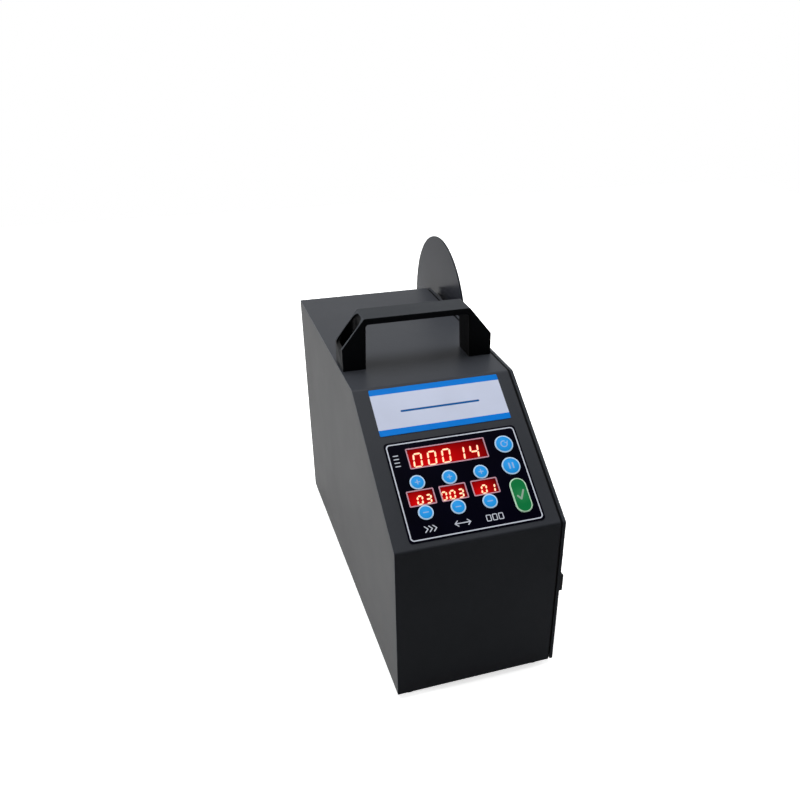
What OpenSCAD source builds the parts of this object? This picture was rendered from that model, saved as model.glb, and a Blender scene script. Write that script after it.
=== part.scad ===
// Desktop label dispenser: a folded-sheet housing with a control panel on its
// sloping face, a bridge handle on top, and a label reel, peel plate, drive
// roller and take-up spindle on its right-hand side plate.
// Millimetres. X runs to the machine's right, Y to its back and Z up. The origin
// is the middle of the folded cover, on the surface that the feet stand on.

/* [Housing] */
// Width of the folded cover
cover_w = 150; // [146:1:160]
// Depth of the housing, front to back
housing_d = 387; // [380:1:400]
// Height of the flat top above the housing's lower edge
housing_h = 245; // [243:1:255]
// Height of the upright front face
front_h = 158; // [154:1:162]
// Depth of the flat top, from the back to the bend
top_d = 255; // [250:1:262]
// Thickness of the folded sheet
sheet_t = 1.5; // [1.2:0.1:1.8]
// Outside radius of the bend between the top and the slope
top_bend_r = 6; // [4:0.5:7]
// Outside radius of the other bends
bend_r = 3; // [2.5:0.5:4]
// Thickness of the plate that carries the mechanism
plate_t = 3; // [2.5:0.5:4]
// Shadow gap between the cover and the side plate
plate_gap = 1.4; // [0.6:0.2:1.6]
// Gap round the left panel, inside the cover's edge
seam = 0.4; // [0.3:0.1:0.8]
// Thickness of the base plate
base_t = 2; // [1.5:0.5:3]
// Width of the cover's folded lips under the base plate
lip_w = 22; // [21:1:26]
// Radius of the rods that tie the two sides together
tie_rod_r = 5; // [4:0.5:6]

/* [Feet] */
// Height of a rubber foot
foot_h = 6; // [5:0.5:9]
// Radius of a rubber foot
foot_r = 8; // [6:0.5:9]
// Distance of a foot's centre from the cover's sides
foot_inset = 13; // [12:1:13]

/* [Handle] */
// Overall length of the handle
handle_l = 145; // [140:1:146]
// Depth of the handle, front to back
handle_d = 26; // [24:1:30]
// Height of the handle
handle_h = 48; // [44:1:54]
// Width of each post
post_w = 21.5; // [20:0.5:24]
// Height at which the sloping shoulders start
shoulder_h = 23.6; // [20:0.2:28]
// Height of the finger gap
finger_h = 43.5; // [40:0.5:44]
// Wall round the screw pocket in each post
pocket_wall = 2.2; // [1.8:0.1:2.6]
// Thickness of a post's floor under the screw
handle_floor = 3; // [2:0.5:5]
// Place of the handle's middle, along Y
handle_y = -5; // [-10:1:5]

/* [Control panel] */
// Width of the printed name plate
nameplate_w = 122.6; // [110:0.2:124]
// Height of the name plate, down the slope
nameplate_h = 47.6; // [40:0.2:48]
// Distance of the name plate below the bend
nameplate_v = 2.4; // [2:0.2:4]
// Width of the control overlay
overlay_w = 122.4; // [118:0.2:124]
// Height of the control overlay, down the slope
overlay_h = 94.8; // [92:0.2:96]
// Distance of the overlay below the bend
overlay_v = 57.4; // [56:0.2:58]
// Corner radius of the overlay
overlay_r = 3.5; // [2:0.5:6]
// Thickness of the overlay and of the name plate
film_t = 0.5; // [0.3:0.1:0.8]
// Sideways shift of the two films from the cover's middle
film_u = 0.8; // [0:0.2:1]
// Distance between the columns of controls
column_pitch = 28.9; // [28:0.1:29.2]
// Radius of a small round button
small_button_r = 6.7; // [5:0.1:6.8]
// Radius of a large round button
large_button_r = 8.5; // [7:0.1:8.6]
// Width of the long button
long_button_w = 15.4; // [13:0.2:16]
// Length of the long button
long_button_l = 33.2; // [28:0.2:34]
// Size of a small number window
small_window = [24.1, 14.8]; // [12:0.1:25]
// Size of the counter window
large_window = [72.4, 20]; // [18:0.1:73]
// Height of the button caps above the overlay
cap_proud = 0.8; // [0.7:0.1:1.2]
// Travel of a button
button_travel = 0.5; // [0.3:0.1:0.6]
// Gap between a button and the hole it slides in
button_gap = 0.2; // [0.15:0.05:0.3]

/* [Reel] */
// Radius of the reel disc
reel_r = 90; // [80:1:92]
// Thickness of the reel disc
disc_t = 2; // [1.5:0.5:3]
// Radius of the hub that takes the label core
hub_r = 19; // [16:0.5:24]
// Gap between the side plate and the reel disc
reel_gap = 6; // [6:0.5:7]
// Place of the reel's axis, along Y
reel_y = 177; // [170:1:180]
// Distance of the reel's axis below the housing's flat top
reel_drop = 29; // [26:1:33]

/* [Label path] */
// Width that the rollers carry
web_w = 27; // [22:0.5:28]
// Gap between the side plate and the rollers
web_gap = 5.5; // [5.5:0.5:6.5]
// Radius of the rubber drive roller
drive_r = 16; // [14:0.5:16.5]
// Radius of the pinch roller
pinch_r = 9; // [8:0.5:9]
// Gap left for the paper between the drive and pinch rollers
nip_gap = 0.4; // [0.3:0.1:0.8]
// Radius of a guide roller
guide_r = 8; // [7:0.5:9]
// Height of the rims at a guide roller's ends
rim_h = 2; // [1:0.5:2.5]
// Radius of the take-up disc
takeup_disc_r = 55; // [45:1:56]
// Radius of the take-up core
takeup_core_r = 10; // [9:0.5:12]
// Length of the peel plate, back from its edge
peel_l = 52; // [48:1:56]
// Thickness of the peel plate
peel_t = 3; // [2:0.5:4]
// Thickness of the peel plate's edge
edge_t = 0.8; // [0.6:0.1:1.2]
// Way that the label sensor slides forward and back
sensor_travel = 8; // [5:1:9]

/* [Drive] */
// Radius of the two driven shafts
shaft_r = 4; // [4:0.5:4.5]
// Side of the square motor body
motor_w = 56.4; // [54:0.2:58]
// Length of the motor body
motor_l = 56; // [45:1:70]
// Tooth pitch of the timing belt
tooth_pitch = 2.5; // [2.4:0.1:2.6]
// Teeth on the motor pulley
motor_teeth = 16; // [14:1:18]
// Teeth on the drive pulley
drive_teeth = 32; // [30:1:34]
// Width of the timing belt
belt_w = 9; // [7:1:9]
// Thickness of both belts
belt_t = 1.3; // [1:0.1:1.6]

/* [Hidden] */
$fn = 48;

housing_colour = [0.27, 0.28, 0.30];
plain_steel = [0.72, 0.73, 0.75];
dark_steel = [0.30, 0.31, 0.33];
black_plastic = [0.05, 0.05, 0.06];
black_rubber = [0.08, 0.08, 0.08];
bright_blue = [0.16, 0.55, 0.93];
confirm_green = [0.04, 0.52, 0.16];

fit = 0.05;              // running clearance of a shaft, on the radius
slack = 0.3;             // clearance between neighbours that don't touch
cut = 1;                 // how far a cutting solid runs past what it cuts

// Housing outline in (Y, Z), from the front's lower edge over the top to the back
front_y = -housing_d / 2;
back_y = housing_d / 2;
bend_y = back_y - top_d;
slope_angle = atan2(housing_h - front_h, bend_y - front_y);
slope_l = norm([bend_y - front_y, housing_h - front_h]);
outline = [[front_y, 0], [front_y, front_h], [bend_y, housing_h], [back_y, housing_h], [back_y, 0]];
outline_radii = [0, bend_r, top_bend_r, bend_r, 0];

// Places along X
cover_x = cover_w / 2;
inner_x = cover_x + plate_gap;       // inner face of the side plate
outer_x = inner_x + plate_t;         // outer face of the side plate
disc_x = outer_x + reel_gap;         // near face of the reel disc
web_x = outer_x + web_gap;           // where the rollers start
web_end = web_x + web_w;             // where the rollers end
arm_x = outer_x + slack;             // near face of the swinging arms
arm_t = 3.4;                         // thickness of the swinging arms
head_t = 1.6;                        // thickness of the heads on studs and pins

// Places in (Y, Z) above the housing's lower edge
drive_at = [-50, 52];
pinch_at = drive_at + [0, drive_r + nip_gap + pinch_r];
pinch_pivot = drive_at + [36, 40];
pinch_grip_at = pinch_pivot + [40, 20];
takeup_at = [95, 75];
motor_at = [-130, 52];
reel_at = [reel_y, housing_h - reel_drop];
upper_guide_at = [-32, 128];
lower_guide_at = [-92, 118];
tension_pivot = [8, 150];
tension_at = [58, 140];
peel_edge_y = -137;
peel_top = 76;
sensor_z = 41.5;
sensor_y = -120;
tie_rods_at = [[front_y + 14, 22], [front_y + 14, 138], [back_y - 14, 22], [110, housing_h - 14]];
flange_screws_at = [[-90, 10], [40, 10]];

// Pins, studs and bearings
pin_r = 3;
pivot_r = 4;
arm_hub_r = 7;
nut_w = 10;
nut_t = 5;
bearing_r = 11;
bearing_w = 7;
housing_wall = 2;
housing_in = 14;                     // how far a bearing housing reaches inside
spring_wire_r = 0.6;
spring_curls = 5;
spring_pitch = 1.9;
spring_leg = 17;
spring_tail = 3;
tension_tail_at = 250;               // where each spring's short tail leaves its coil
pinch_tail_at = 200;

// Drive train along X
timing_in = 26;                      // how far inside the plate the timing belt runs
belts_apart = 12;                    // from the take-up belt's groove to the timing belt's
timing_x = inner_x - timing_in;      // near edge of the timing belt's groove
takeup_belt_x = timing_x - belts_apart;
takeup_belt_w = 6;
rim_t = 1;
motor_face_x = timing_x - 6;
bracket_t = 3;
belt_gap = 0.3;
motor_pulley_r = tooth_pitch * motor_teeth / (2 * PI);
drive_pulley_r = tooth_pitch * drive_teeth / (2 * PI);
takeup_drive_r = 9.6;                // the take-up belt's groove on the drive pulley
takeup_ratio = 0.8;                  // turns of the take-up for one turn of the drive roller
takeup_pulley_r = takeup_drive_r / takeup_ratio;
boss_r = 8;                          // the pulleys' plain boss between the two belts
tooth_h = 0.7;

// Control panel, in (U, V): U to the right, V down the slope from the bend

counter_drop = 17.8;                 // rows of controls below the overlay's upper edge
up_drop = 40.8;
window_drop = 55.2;
down_drop = 69.4;
reset_drop = 17.7;
pause_drop = 39.8;
confirm_drop = 68.9;
counter_shift = 7.1;                 // sideways shift of the counter from the films' middle
column_shift = 11.8;                 // and of the third column from it
columns = [for (i = [-1:2]) film_u - column_shift + column_pitch * i];
up_v = overlay_v + up_drop;
down_v = overlay_v + down_drop;
window_v = overlay_v + window_drop;
counter_at = [film_u - counter_shift, overlay_v + counter_drop];
reset_v = overlay_v + reset_drop;
pause_v = overlay_v + pause_drop;
confirm_v = overlay_v + confirm_drop;
window_border = 1;                   // printed border that the overlay leaves round a window
display_inset = 1.3;
cap_flange = 1.2;
cap_flange_t = 1;
board_t = 1.6;
board_depth = 9;                     // from the slope's outer face to the board
board_size = [overlay_w - 10.4, overlay_h - 2.8];
board_stud_inset = [3.5, 3];         // distance of a board screw from the board's edges
switch_h = 3.5;
board_middle = [film_u, overlay_v + overlay_h / 2];
board_studs_out = board_size / 2 - board_stud_inset;
corner_studs = [
    for (u = [-1, 1]) for (v = [-1, 1])
        board_middle + [u * board_studs_out[0], v * board_studs_out[1]]
];

function unit(v) = v / norm(v);
function side_a(p, i) = unit(p[(i + len(p) - 1) % len(p)] - p[i]);
function side_b(p, i) = unit(p[(i + 1) % len(p)] - p[i]);
function half_angle(p, i) = acos(side_a(p, i) * side_b(p, i)) / 2;
function bisector(p, i) = unit(side_a(p, i) + side_b(p, i));
// Corner i of a convex outline, moved inwards from both its sides by t
function inset(p, i, t) = p[i] + bisector(p, i) * t / sin(half_angle(p, i));

// Points on the arc of radius r about c, from unit direction "from" to "to"
arc_steps = 8;
function arc(c, r, from, to) =
    let (turn = acos(from * to))
        [for (i = [0:arc_steps]) let (k = i / arc_steps)
            c + r * (from * sin((1 - k) * turn) + to * sin(k * turn)) / sin(turn)];
function round_corner(p, i, r) =
    let (c = p[i] + bisector(p, i) * r / sin(half_angle(p, i)), reach = r / tan(half_angle(p, i)))
        arc(c, r, unit(p[i] + side_a(p, i) * reach - c), unit(p[i] + side_b(p, i) * reach - c));

// A convex outline with its corners rounded
module rounded_outline(p, radii) {
    polygon([
        for (i = [0:len(p) - 1])
            for (point = radii[i] > 0 ? round_corner(p, i, radii[i]) : [p[i]])
                point
    ]);
}

module rounded_rect(size, r) {
    rounded_outline(
        [[-size[0] / 2, -size[1] / 2], [-size[0] / 2, size[1] / 2],
         [size[0] / 2, size[1] / 2], [size[0] / 2, -size[1] / 2]],
        [r, r, r, r]);
}

// Lifts what is given above the housing's lower edge
module housed() {
    translate([0, 0, foot_h]) children();
}

// Draws a (Y, Z) outline from x0 to x1
module across(x0, x1) {
    housed() translate([x0, 0, 0]) rotate([90, 0, 90]) linear_extrude(x1 - x0) children();
}

// A round bar or hole along X, centred on a (Y, Z) place
module bar(at, r, x0, x1) {
    housed() translate([x0, at[0], at[1]]) rotate([0, 90, 0]) cylinder(r = r, h = x1 - x0);
}

// Stands what is given on the slope at (u, v), with Z out of it
module on_slope(u, v) {
    housed() translate([0, bend_y, housing_h]) rotate([slope_angle, 0, 0])
        translate([u, -v, 0]) children();
}

module slope_block(u, v, size, r, w0, w1) {
    on_slope(u, v) translate([0, 0, w0]) linear_extrude(w1 - w0) rounded_rect(size, r);
}

module slope_disc(u, v, r, w0, w1) {
    on_slope(u, v) translate([0, 0, w0]) cylinder(r = r, h = w1 - w0);
}

module inner_outline(t) {
    p = outline;
    rounded_outline(
        [[front_y + t, -cut], inset(p, 1, t), inset(p, 2, t), inset(p, 3, t), [back_y - t, -cut]],
        [0, bend_r - sheet_t, top_bend_r - t, bend_r - sheet_t, 0]);
}

module lip(y) {
    across(-cover_x + sheet_t + seam, cover_x) translate([y, 0]) square([lip_w, sheet_t]);
}

// Every control's outline on the slope, grown by g
module button_hole(place, r, g, w0, w1) {
    slope_disc(place[0], place[1], r + g, w0, w1);
}

module long_button_hole(g, w0, w1) {
    slope_block(columns[3], confirm_v, [long_button_w + 2 * g, long_button_l + 2 * g],
        long_button_w / 2 + g - 0.01, w0, w1);
}

module panel_holes(g, w0, w1) {
    for (u = [0:2]) {
        button_hole([columns[u], up_v], small_button_r, g, w0, w1);
        button_hole([columns[u], down_v], small_button_r, g, w0, w1);
    }
    for (v = [reset_v, pause_v])
        button_hole([columns[3], v], large_button_r, g, w0, w1);
    long_button_hole(g, w0, w1);
}

module windows(border_w, w0, w1) {
    border = 2 * [border_w, border_w];
    slope_block(counter_at[0], counter_at[1], large_window - border, 0.8, w0, w1);
    for (u = [0:2])
        slope_block(columns[u], window_v, small_window - border, 0.8, w0, w1);
}

// ---- Housing ----

inlet_at = [-38, 62];                // middle of the mains inlet, in (X, Z)
inlet_body = [28, 48];
inlet_flange = [8, 8];               // how much larger the flange outside is than the body
inlet_flange_t = 3;
inlet_depth = 24;

module cover() color(housing_colour) {
    difference() {
        union() {
            difference() {
                across(-cover_x, cover_x) rounded_outline(outline, outline_radii);
                across(-cover_x - cut, cover_x + cut) inner_outline(sheet_t);
            }
            lip(front_y + sheet_t / 2);
            lip(back_y - sheet_t / 2 - lip_w);
            for (s = corner_studs)
                slope_disc(s[0], s[1], 3, -board_depth + board_t, -sheet_t / 2);
            for (x = handle_screws_x)
                housed() translate([x, handle_y, housing_h - sheet_t - 4])
                    cylinder(r = 5, h = 4 + sheet_t / 2);
        }
        panel_holes(button_gap, -2 * sheet_t, cut);
        windows(window_border - 0.2, -2 * sheet_t, cut);
        for (x = handle_screws_x)
            housed() translate([x, handle_y, housing_h - sheet_t - 4 - cut])
                cylinder(r = screw_r + fit, h = 4 + sheet_t + 2 * cut);
        housed() translate([inlet_at[0], back_y, inlet_at[1]])
            cube([inlet_body[0] + seam, 4 * sheet_t, inlet_body[1] + seam], center = true);
        for (y = [front_y + foot_inset, back_y - foot_inset])
            for (x = [-1, 1])
                housed() translate([x * (cover_x - foot_inset), y, -cut])
                    cylinder(r = foot_peg_r + fit, h = sheet_t + 2 * cut);
    }
}

module left_panel() color(housing_colour) {
    p = outline;
    t = sheet_t + seam;
    across(-cover_x, -cover_x + sheet_t) rounded_outline(
        [[front_y + t, 0], inset(p, 1, t), inset(p, 2, t), inset(p, 3, t), [back_y - t, 0]],
        [0, bend_r - sheet_t, top_bend_r - t, bend_r - sheet_t, 0]);
}

module side_plate() color(housing_colour) difference() {
    across(inner_x, outer_x) rounded_outline(outline, outline_radii);
    for (at = tie_rods_at)
        bar(at, screw_r + fit, inner_x - cut, outer_x + cut);
    for (at = concat(flange_screws_at, peel_screws_at))
        bar(at, screw_r + fit, inner_x - cut, outer_x + cut);
    for (at = [drive_at, takeup_at])
        bar(at, bearing_r + housing_wall + fit, inner_x - cut, outer_x + cut);
    for (at = [reel_at, upper_guide_at, lower_guide_at, tension_pivot, pinch_pivot])
        bar(at, pin_r + fit, inner_x - cut, outer_x + cut);
    for (y = [-1, 1])
        bar([sensor_y + y * slot_half, sensor_z], slide_pin_r + slack, inner_x - cut, outer_x + cut);
    across(inner_x - cut, outer_x + cut)
        translate([sensor_y - slot_half, sensor_z - slide_pin_r - slack])
            square([2 * slot_half, 2 * (slide_pin_r + slack)]);
}

flange_h = 18;
flange_inset = 14;                   // from a lip's edge to the flange's end

module base_plate() color(dark_steel) difference() {
    gap = sheet_t + seam;
    union() {
        across(-cover_x + sheet_t, inner_x)
            translate([front_y + gap, sheet_t]) square([housing_d - 2 * gap, base_t]);
        across(inner_x - base_t, inner_x)
            translate([front_y + lip_w + flange_inset, sheet_t])
                square([housing_d - 2 * lip_w - 2 * flange_inset, flange_h]);
    }
    for (at = flange_screws_at)
        bar(at, screw_r + fit, inner_x - 2 * base_t, inner_x + cut);
    for (y = [front_y + foot_inset, back_y - foot_inset])
        for (x = [-1, 1])
            housed() translate([x * (cover_x - foot_inset), y, 0])
                cylinder(r = foot_peg_r + fit, h = sheet_t + base_t + cut);
}

module tie_rods() color(plain_steel) {
    for (at = tie_rods_at)
        difference() {
            bar(at, tie_rod_r, -cover_x + sheet_t, inner_x);
            bar(at, screw_r + fit, inner_x - screw_l, inner_x + cut);
        }
}

screw_r = 2;
screw_l = 12;
screw_head_r = 3.8;
screw_head_t = 2.2;

// A button-head screw that points down Z, with its head's seat at the origin
module button_head_screw() {
    difference() {
        union() {
            translate([0, 0, -screw_l]) cylinder(r = screw_r, h = screw_l + screw_head_t / 2);
            intersection() {
                cylinder(r = screw_head_r, h = screw_head_t);
                translate([0, 0, -1.7]) sphere(r = screw_head_r + 0.45);
            }
        }
        translate([0, 0, 1]) cylinder(r = 1.4, h = screw_head_t, $fn = 6);
    }
}

module screw_along_x(at, seat_x) {
    housed() translate([seat_x, at[0], at[1]]) rotate([0, 90, 0]) button_head_screw();
}

// The same screw holds the side plate, the peel plate, the motor and the handle
module button_head_screws() color(dark_steel) {
    for (at = concat(tie_rods_at, flange_screws_at))
        screw_along_x(at, outer_x);
    for (at = motor_bolts_at)
        screw_along_x(at, motor_face_x + bracket_t);
    for (at = peel_screws_at)
        housed() translate([inner_x, at[0], at[1]]) rotate([0, -90, 0]) button_head_screw();
    for (x = handle_screws_x)
        housed() translate([x, handle_y, housing_h + handle_floor]) button_head_screw();
}

foot_peg_r = 3;
foot_dish_r = 4;                     // the shallow dish under a foot

// Moulded rubber feet, each held by a peg through the base
module feet() color(black_rubber) {
    for (x = [-1, 1])
        for (y = [front_y + foot_inset, back_y - foot_inset])
            translate([x * (cover_x - foot_inset), y, 0]) {
                rotate_extrude() polygon([
                    [0, 0.6], [foot_dish_r, 0.6], [foot_dish_r, 0], [foot_r, 0], [foot_r, foot_h],
                    [foot_peg_r, foot_h], [foot_peg_r, foot_h + sheet_t + base_t],
                    [foot_peg_r + 1, foot_h + sheet_t + base_t],
                    [foot_peg_r - 0.6, foot_h + sheet_t + base_t + 3],
                    [0, foot_h + sheet_t + base_t + 3]
                ]);
            }
}

handle_screws_x = [-handle_l / 2 + post_w / 2, handle_l / 2 - post_w / 2];
handle_r = 2;

module handle_outline() {
    x = handle_l / 2;
    rounded_outline(
        [[-x, 0], [-x, shoulder_h], [-x + post_w + 0.4, handle_h],
         [x - post_w - 0.4, handle_h], [x, shoulder_h], [x, 0]],
        [0, handle_r, handle_r, handle_r, handle_r, 0]);
}

module finger_gap() {
    x = handle_l / 2 - post_w;
    rounded_outline([[-x, -cut], [-x, finger_h], [x, finger_h], [x, -cut]], [0, 3, 3, 0]);
}

// Bridge handle with a deep screw pocket in each shoulder
module handle() color(black_plastic) difference() {
    housed() translate([0, handle_y + handle_d / 2, housing_h]) rotate([90, 0, 0])
        linear_extrude(handle_d) difference() {
            handle_outline();
            finger_gap();
        }
    for (x = handle_screws_x) {
        housed() translate([x, handle_y, housing_h + handle_floor])
            linear_extrude(handle_h)
                rounded_rect([post_w - 2 * pocket_wall, handle_d - 2 * pocket_wall], 6);
        housed() translate([x, handle_y, housing_h - cut])
            cylinder(r = screw_r + fit, h = handle_floor + 2 * cut);
    }
}

// ---- Control panel ----

module nameplate() color([0.85, 0.86, 0.93]) {
    slope_block(film_u - 0.3, nameplate_v + nameplate_h / 2, [nameplate_w, nameplate_h], 1, 0, film_t);
}

module control_overlay() color(black_plastic) difference() {
    slope_block(film_u, overlay_v + overlay_h / 2, [overlay_w, overlay_h], overlay_r, 0, film_t);
    panel_holes(button_gap, -cut, film_t + cut);
    windows(window_border, -cut, film_t + cut);
}

display_face = film_t - 0.25;

// The counter and the three setting displays, on the board behind the windows
module number_displays() color([0.62, 0.05, 0.04]) {
    drop = -board_depth + board_t;
    windows(display_inset, drop, display_face);
}

// Board with a soldered push switch behind each button
module control_board() color([0.06, 0.32, 0.18]) {
    top = -board_depth + board_t;
    difference() {
        slope_block(film_u, overlay_v + overlay_h / 2, board_size, 2, -board_depth, top);
        for (s = corner_studs)
            slope_disc(s[0], s[1], 1.5, -board_depth - cut, top + cut);
    }
    for (s = switch_places) {
        slope_block(s[0], s[1], [6, 6], 0.5, top - 0.2, top + switch_h - 0.8);
        slope_disc(s[0], s[1], 1.6, top + switch_h - 1, top + switch_h);
    }
}

// Everything that a push on one control reaches, as (U, V)
switch_places = concat(
    [for (u = [0:2]) [columns[u], up_v]], [for (u = [0:2]) [columns[u], down_v]],
    [[columns[3], reset_v], [columns[3], pause_v], [columns[3], confirm_v]]);

stem_end = -board_depth + board_t + switch_h + button_travel + 0.1;
flange_top = -sheet_t - 0.1;

// A round cap with a low crown, its stop flange and its stem
module round_button(place, r) {
    crown_r = 60;
    top = film_t + cap_proud;
    intersection() {
        slope_disc(place[0], place[1], r, flange_top - cap_flange_t, top);
        on_slope(place[0], place[1]) translate([0, 0, top - crown_r]) sphere(r = crown_r, $fn = 96);
    }
    slope_disc(place[0], place[1], r + cap_flange, flange_top - cap_flange_t, flange_top);
    slope_disc(place[0], place[1], 2, stem_end, flange_top - cap_flange_t / 2);
}

module speed_up_button() color(bright_blue) round_button(switch_places[0], small_button_r);
module length_up_button() color(bright_blue) round_button(switch_places[1], small_button_r);
module rows_up_button() color(bright_blue) round_button(switch_places[2], small_button_r);
module speed_down_button() color(bright_blue) round_button(switch_places[3], small_button_r);
module length_down_button() color(bright_blue) round_button(switch_places[4], small_button_r);
module rows_down_button() color(bright_blue) round_button(switch_places[5], small_button_r);
module reset_button() color(bright_blue) round_button(switch_places[6], large_button_r);
module pause_button() color(bright_blue) round_button(switch_places[7], large_button_r);

module confirm_button() color(confirm_green) {
    top = film_t + cap_proud;
    long_button_hole(0, flange_top - cap_flange_t, top - 0.4);
    long_button_hole(-0.4, top - 0.5, top);
    long_button_hole(cap_flange, flange_top - cap_flange_t, flange_top);
    slope_disc(columns[3], confirm_v, 2, stem_end, flange_top - cap_flange_t / 2);
}

// ---- Motor and belts ----

motor_bolts_at = [for (y = [-1, 1]) for (z = [-1, 1]) motor_at + motor_w * 0.418 * [y, z]];
motor_shaft_r = 3.175;

module motor_square(x0, x1, w, r) {
    across(x0, x1) translate(motor_at) rounded_rect([w, w], r);
}

module stepper_motor() color(dark_steel) difference() {
    union() {
        motor_square(motor_face_x - motor_l, motor_face_x - motor_l + 10, motor_w, 4);
        motor_square(motor_face_x - motor_l + 9, motor_face_x - 9, motor_w - 1.6, 7);
        motor_square(motor_face_x - 10, motor_face_x, motor_w, 4);
        bar(motor_at, 19, motor_face_x - cut, motor_face_x + 1.6);
        across(motor_face_x - motor_l + 2, motor_face_x - motor_l + 9)
            translate(motor_at + [0, motor_w / 2 + 2]) square([16, 8], center = true);
    }
    bar(motor_at, motor_shaft_r + fit, motor_face_x - motor_l - cut, motor_face_x + 3);
    for (at = motor_bolts_at)
        bar(at, screw_r + fit, motor_face_x + bracket_t - screw_l - cut, motor_face_x + cut);
}

module motor_shaft() color(plain_steel)
    bar(motor_at, motor_shaft_r, motor_face_x - motor_l + 2, timing_x + belt_w + 6);

module motor_bracket() color(plain_steel) difference() {
    half = motor_w / 2 + 6;
    floor_z = sheet_t + base_t;
    union() {
        across(motor_face_x, motor_face_x + bracket_t)
            translate([motor_at[0] - half, floor_z]) square([2 * half, motor_at[1] + half - floor_z]);
        across(motor_face_x - motor_l, motor_face_x + bracket_t / 2)
            translate([motor_at[0] - half, floor_z]) square([2 * half, bracket_t]);
    }
    bar(motor_at, 19 + slack, motor_face_x - cut, motor_face_x + bracket_t + cut);
    for (at = motor_bolts_at)
        bar(at, screw_r + fit, motor_face_x - cut, motor_face_x + bracket_t + cut);
}

// A toothed ring in (Y, Z), centred on the origin
module toothed(teeth, r) {
    step = 360 / teeth;
    polygon([
        for (i = [0:teeth - 1])
            for (corner = [[0, r], [0.42, r], [0.54, r - tooth_h], [0.88, r - tooth_h]])
                corner[1] * [cos((i + corner[0]) * step), sin((i + corner[0]) * step)]
    ]);
}

module timing_pulley(at, teeth, r) {
    across(timing_x - rim_t / 2, timing_x + belt_w + 1.5) translate(at) toothed(teeth, r);
    for (x = [timing_x - rim_t, timing_x + belt_w + 1])
        bar(at, r + 1.6, x, x + rim_t);
}

module motor_pulley() color(plain_steel) difference() {
    union() {
        timing_pulley(motor_at, motor_teeth, motor_pulley_r);
        bar(motor_at, motor_pulley_r + 1.6, timing_x + belt_w + 1.5, timing_x + belt_w + 6);
    }
    bar(motor_at, motor_shaft_r, timing_x - 2 * rim_t, timing_x + belt_w + 7);
}

// A belt's run round two wheels that stand apart by the vector "way"
wheel_steps = 48;
module belt_outline(ra, rb, way) {
    d = norm(way);
    lean = acos((ra - rb) / d);
    rotate(atan2(way[1], way[0])) polygon(concat(
        [for (i = [0:wheel_steps]) let (a = lean + (360 - 2 * lean) * i / wheel_steps)
            ra * [cos(a), sin(a)]],
        [for (i = [0:wheel_steps]) let (a = -lean + 2 * lean * i / wheel_steps)
            [d, 0] + rb * [cos(a), sin(a)]]));
}

module belt(at, ra, rb, way, x0, w) {
    across(x0, x0 + w) translate(at) difference() {
        belt_outline(ra + belt_t, rb + belt_t, way);
        belt_outline(ra, rb, way);
    }
}

module drive_belt() color(black_rubber)
    belt(drive_at, drive_pulley_r + belt_gap, motor_pulley_r + belt_gap, motor_at - drive_at,
        timing_x + 0.5, belt_w);

module takeup_belt() color([0.75, 0.45, 0.12])
    belt(drive_at, takeup_drive_r + belt_gap, takeup_pulley_r + belt_gap, takeup_at - drive_at,
        takeup_belt_x + 0.5, takeup_belt_w);

module flat_pulley(at, r) {
    x1 = takeup_belt_x + takeup_belt_w + 1;
    bar(at, r, takeup_belt_x - rim_t, x1 + rim_t);
    for (x = [takeup_belt_x - rim_t, x1])
        bar(at, r + 2.4, x, x + rim_t);
}

// Timing wheel and take-up belt wheel in one turned piece
module drive_pulley() color(plain_steel) difference() {
    union() {
        timing_pulley(drive_at, drive_teeth, drive_pulley_r);
        flat_pulley(drive_at, takeup_drive_r);
        bar(drive_at, boss_r, takeup_belt_x + takeup_belt_w, timing_x);
    }
    bar(drive_at, shaft_r, takeup_belt_x - 2 * rim_t, timing_x + belt_w + 3);
}

module takeup_pulley() color(plain_steel) difference() {
    union() {
        flat_pulley(takeup_at, takeup_pulley_r);
        bar(takeup_at, boss_r, takeup_belt_x + takeup_belt_w, timing_x);
    }
    bar(takeup_at, shaft_r, takeup_belt_x - 2 * rim_t, timing_x + cut);
}

shaft_in = takeup_belt_x - 3;        // inner end of both driven shafts
core_r = drive_r - 4;
roller_x = web_x - 2.5;              // where the turned cores start

// Turned shaft with the core that the rubber sleeve is on
module drive_shaft() color(plain_steel) {
    bar(drive_at, shaft_r, shaft_in, roller_x + 1);
    bar(drive_at, core_r, roller_x, web_end + 0.5);
    bar(drive_at, shaft_r, web_end, web_end + 2);
}

module drive_roller() color([0.12, 0.12, 0.12]) difference() {
    bar(drive_at, drive_r, web_x, web_end);
    bar(drive_at, core_r, web_x - cut, web_end + cut);
}

module bearing_housings() color(plain_steel) {
    for (at = [drive_at, takeup_at])
        difference() {
            union() {
                bar(at, bearing_r + housing_wall, inner_x - housing_in, outer_x);
                bar(at, bearing_r + housing_wall + 4, inner_x - 4, inner_x);
            }
            bar(at, bearing_r, inner_x - housing_in - cut, outer_x + cut);
        }
}

module ball_bearings() color([0.8, 0.8, 0.82]) {
    for (at = [drive_at, takeup_at])
        for (x = [inner_x - housing_in, outer_x - bearing_w])
            difference() {
                bar(at, bearing_r, x, x + bearing_w);
                bar(at, shaft_r + fit, x - cut, x + bearing_w + cut);
                for (side = [x - cut, x + bearing_w - 0.4])
                    difference() {
                        bar(at, bearing_r - 1.6, side, side + cut + 0.4);
                        bar(at, shaft_r + 1.6, side - cut, side + 3 * cut);
                    }
            }
}

// ---- Take-up ----

takeup_disc_t = 2;
clip_wire_r = 1.2;
clip_x = web_x + 2;
clip_end = web_end + clip_wire_r + slack;

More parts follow.
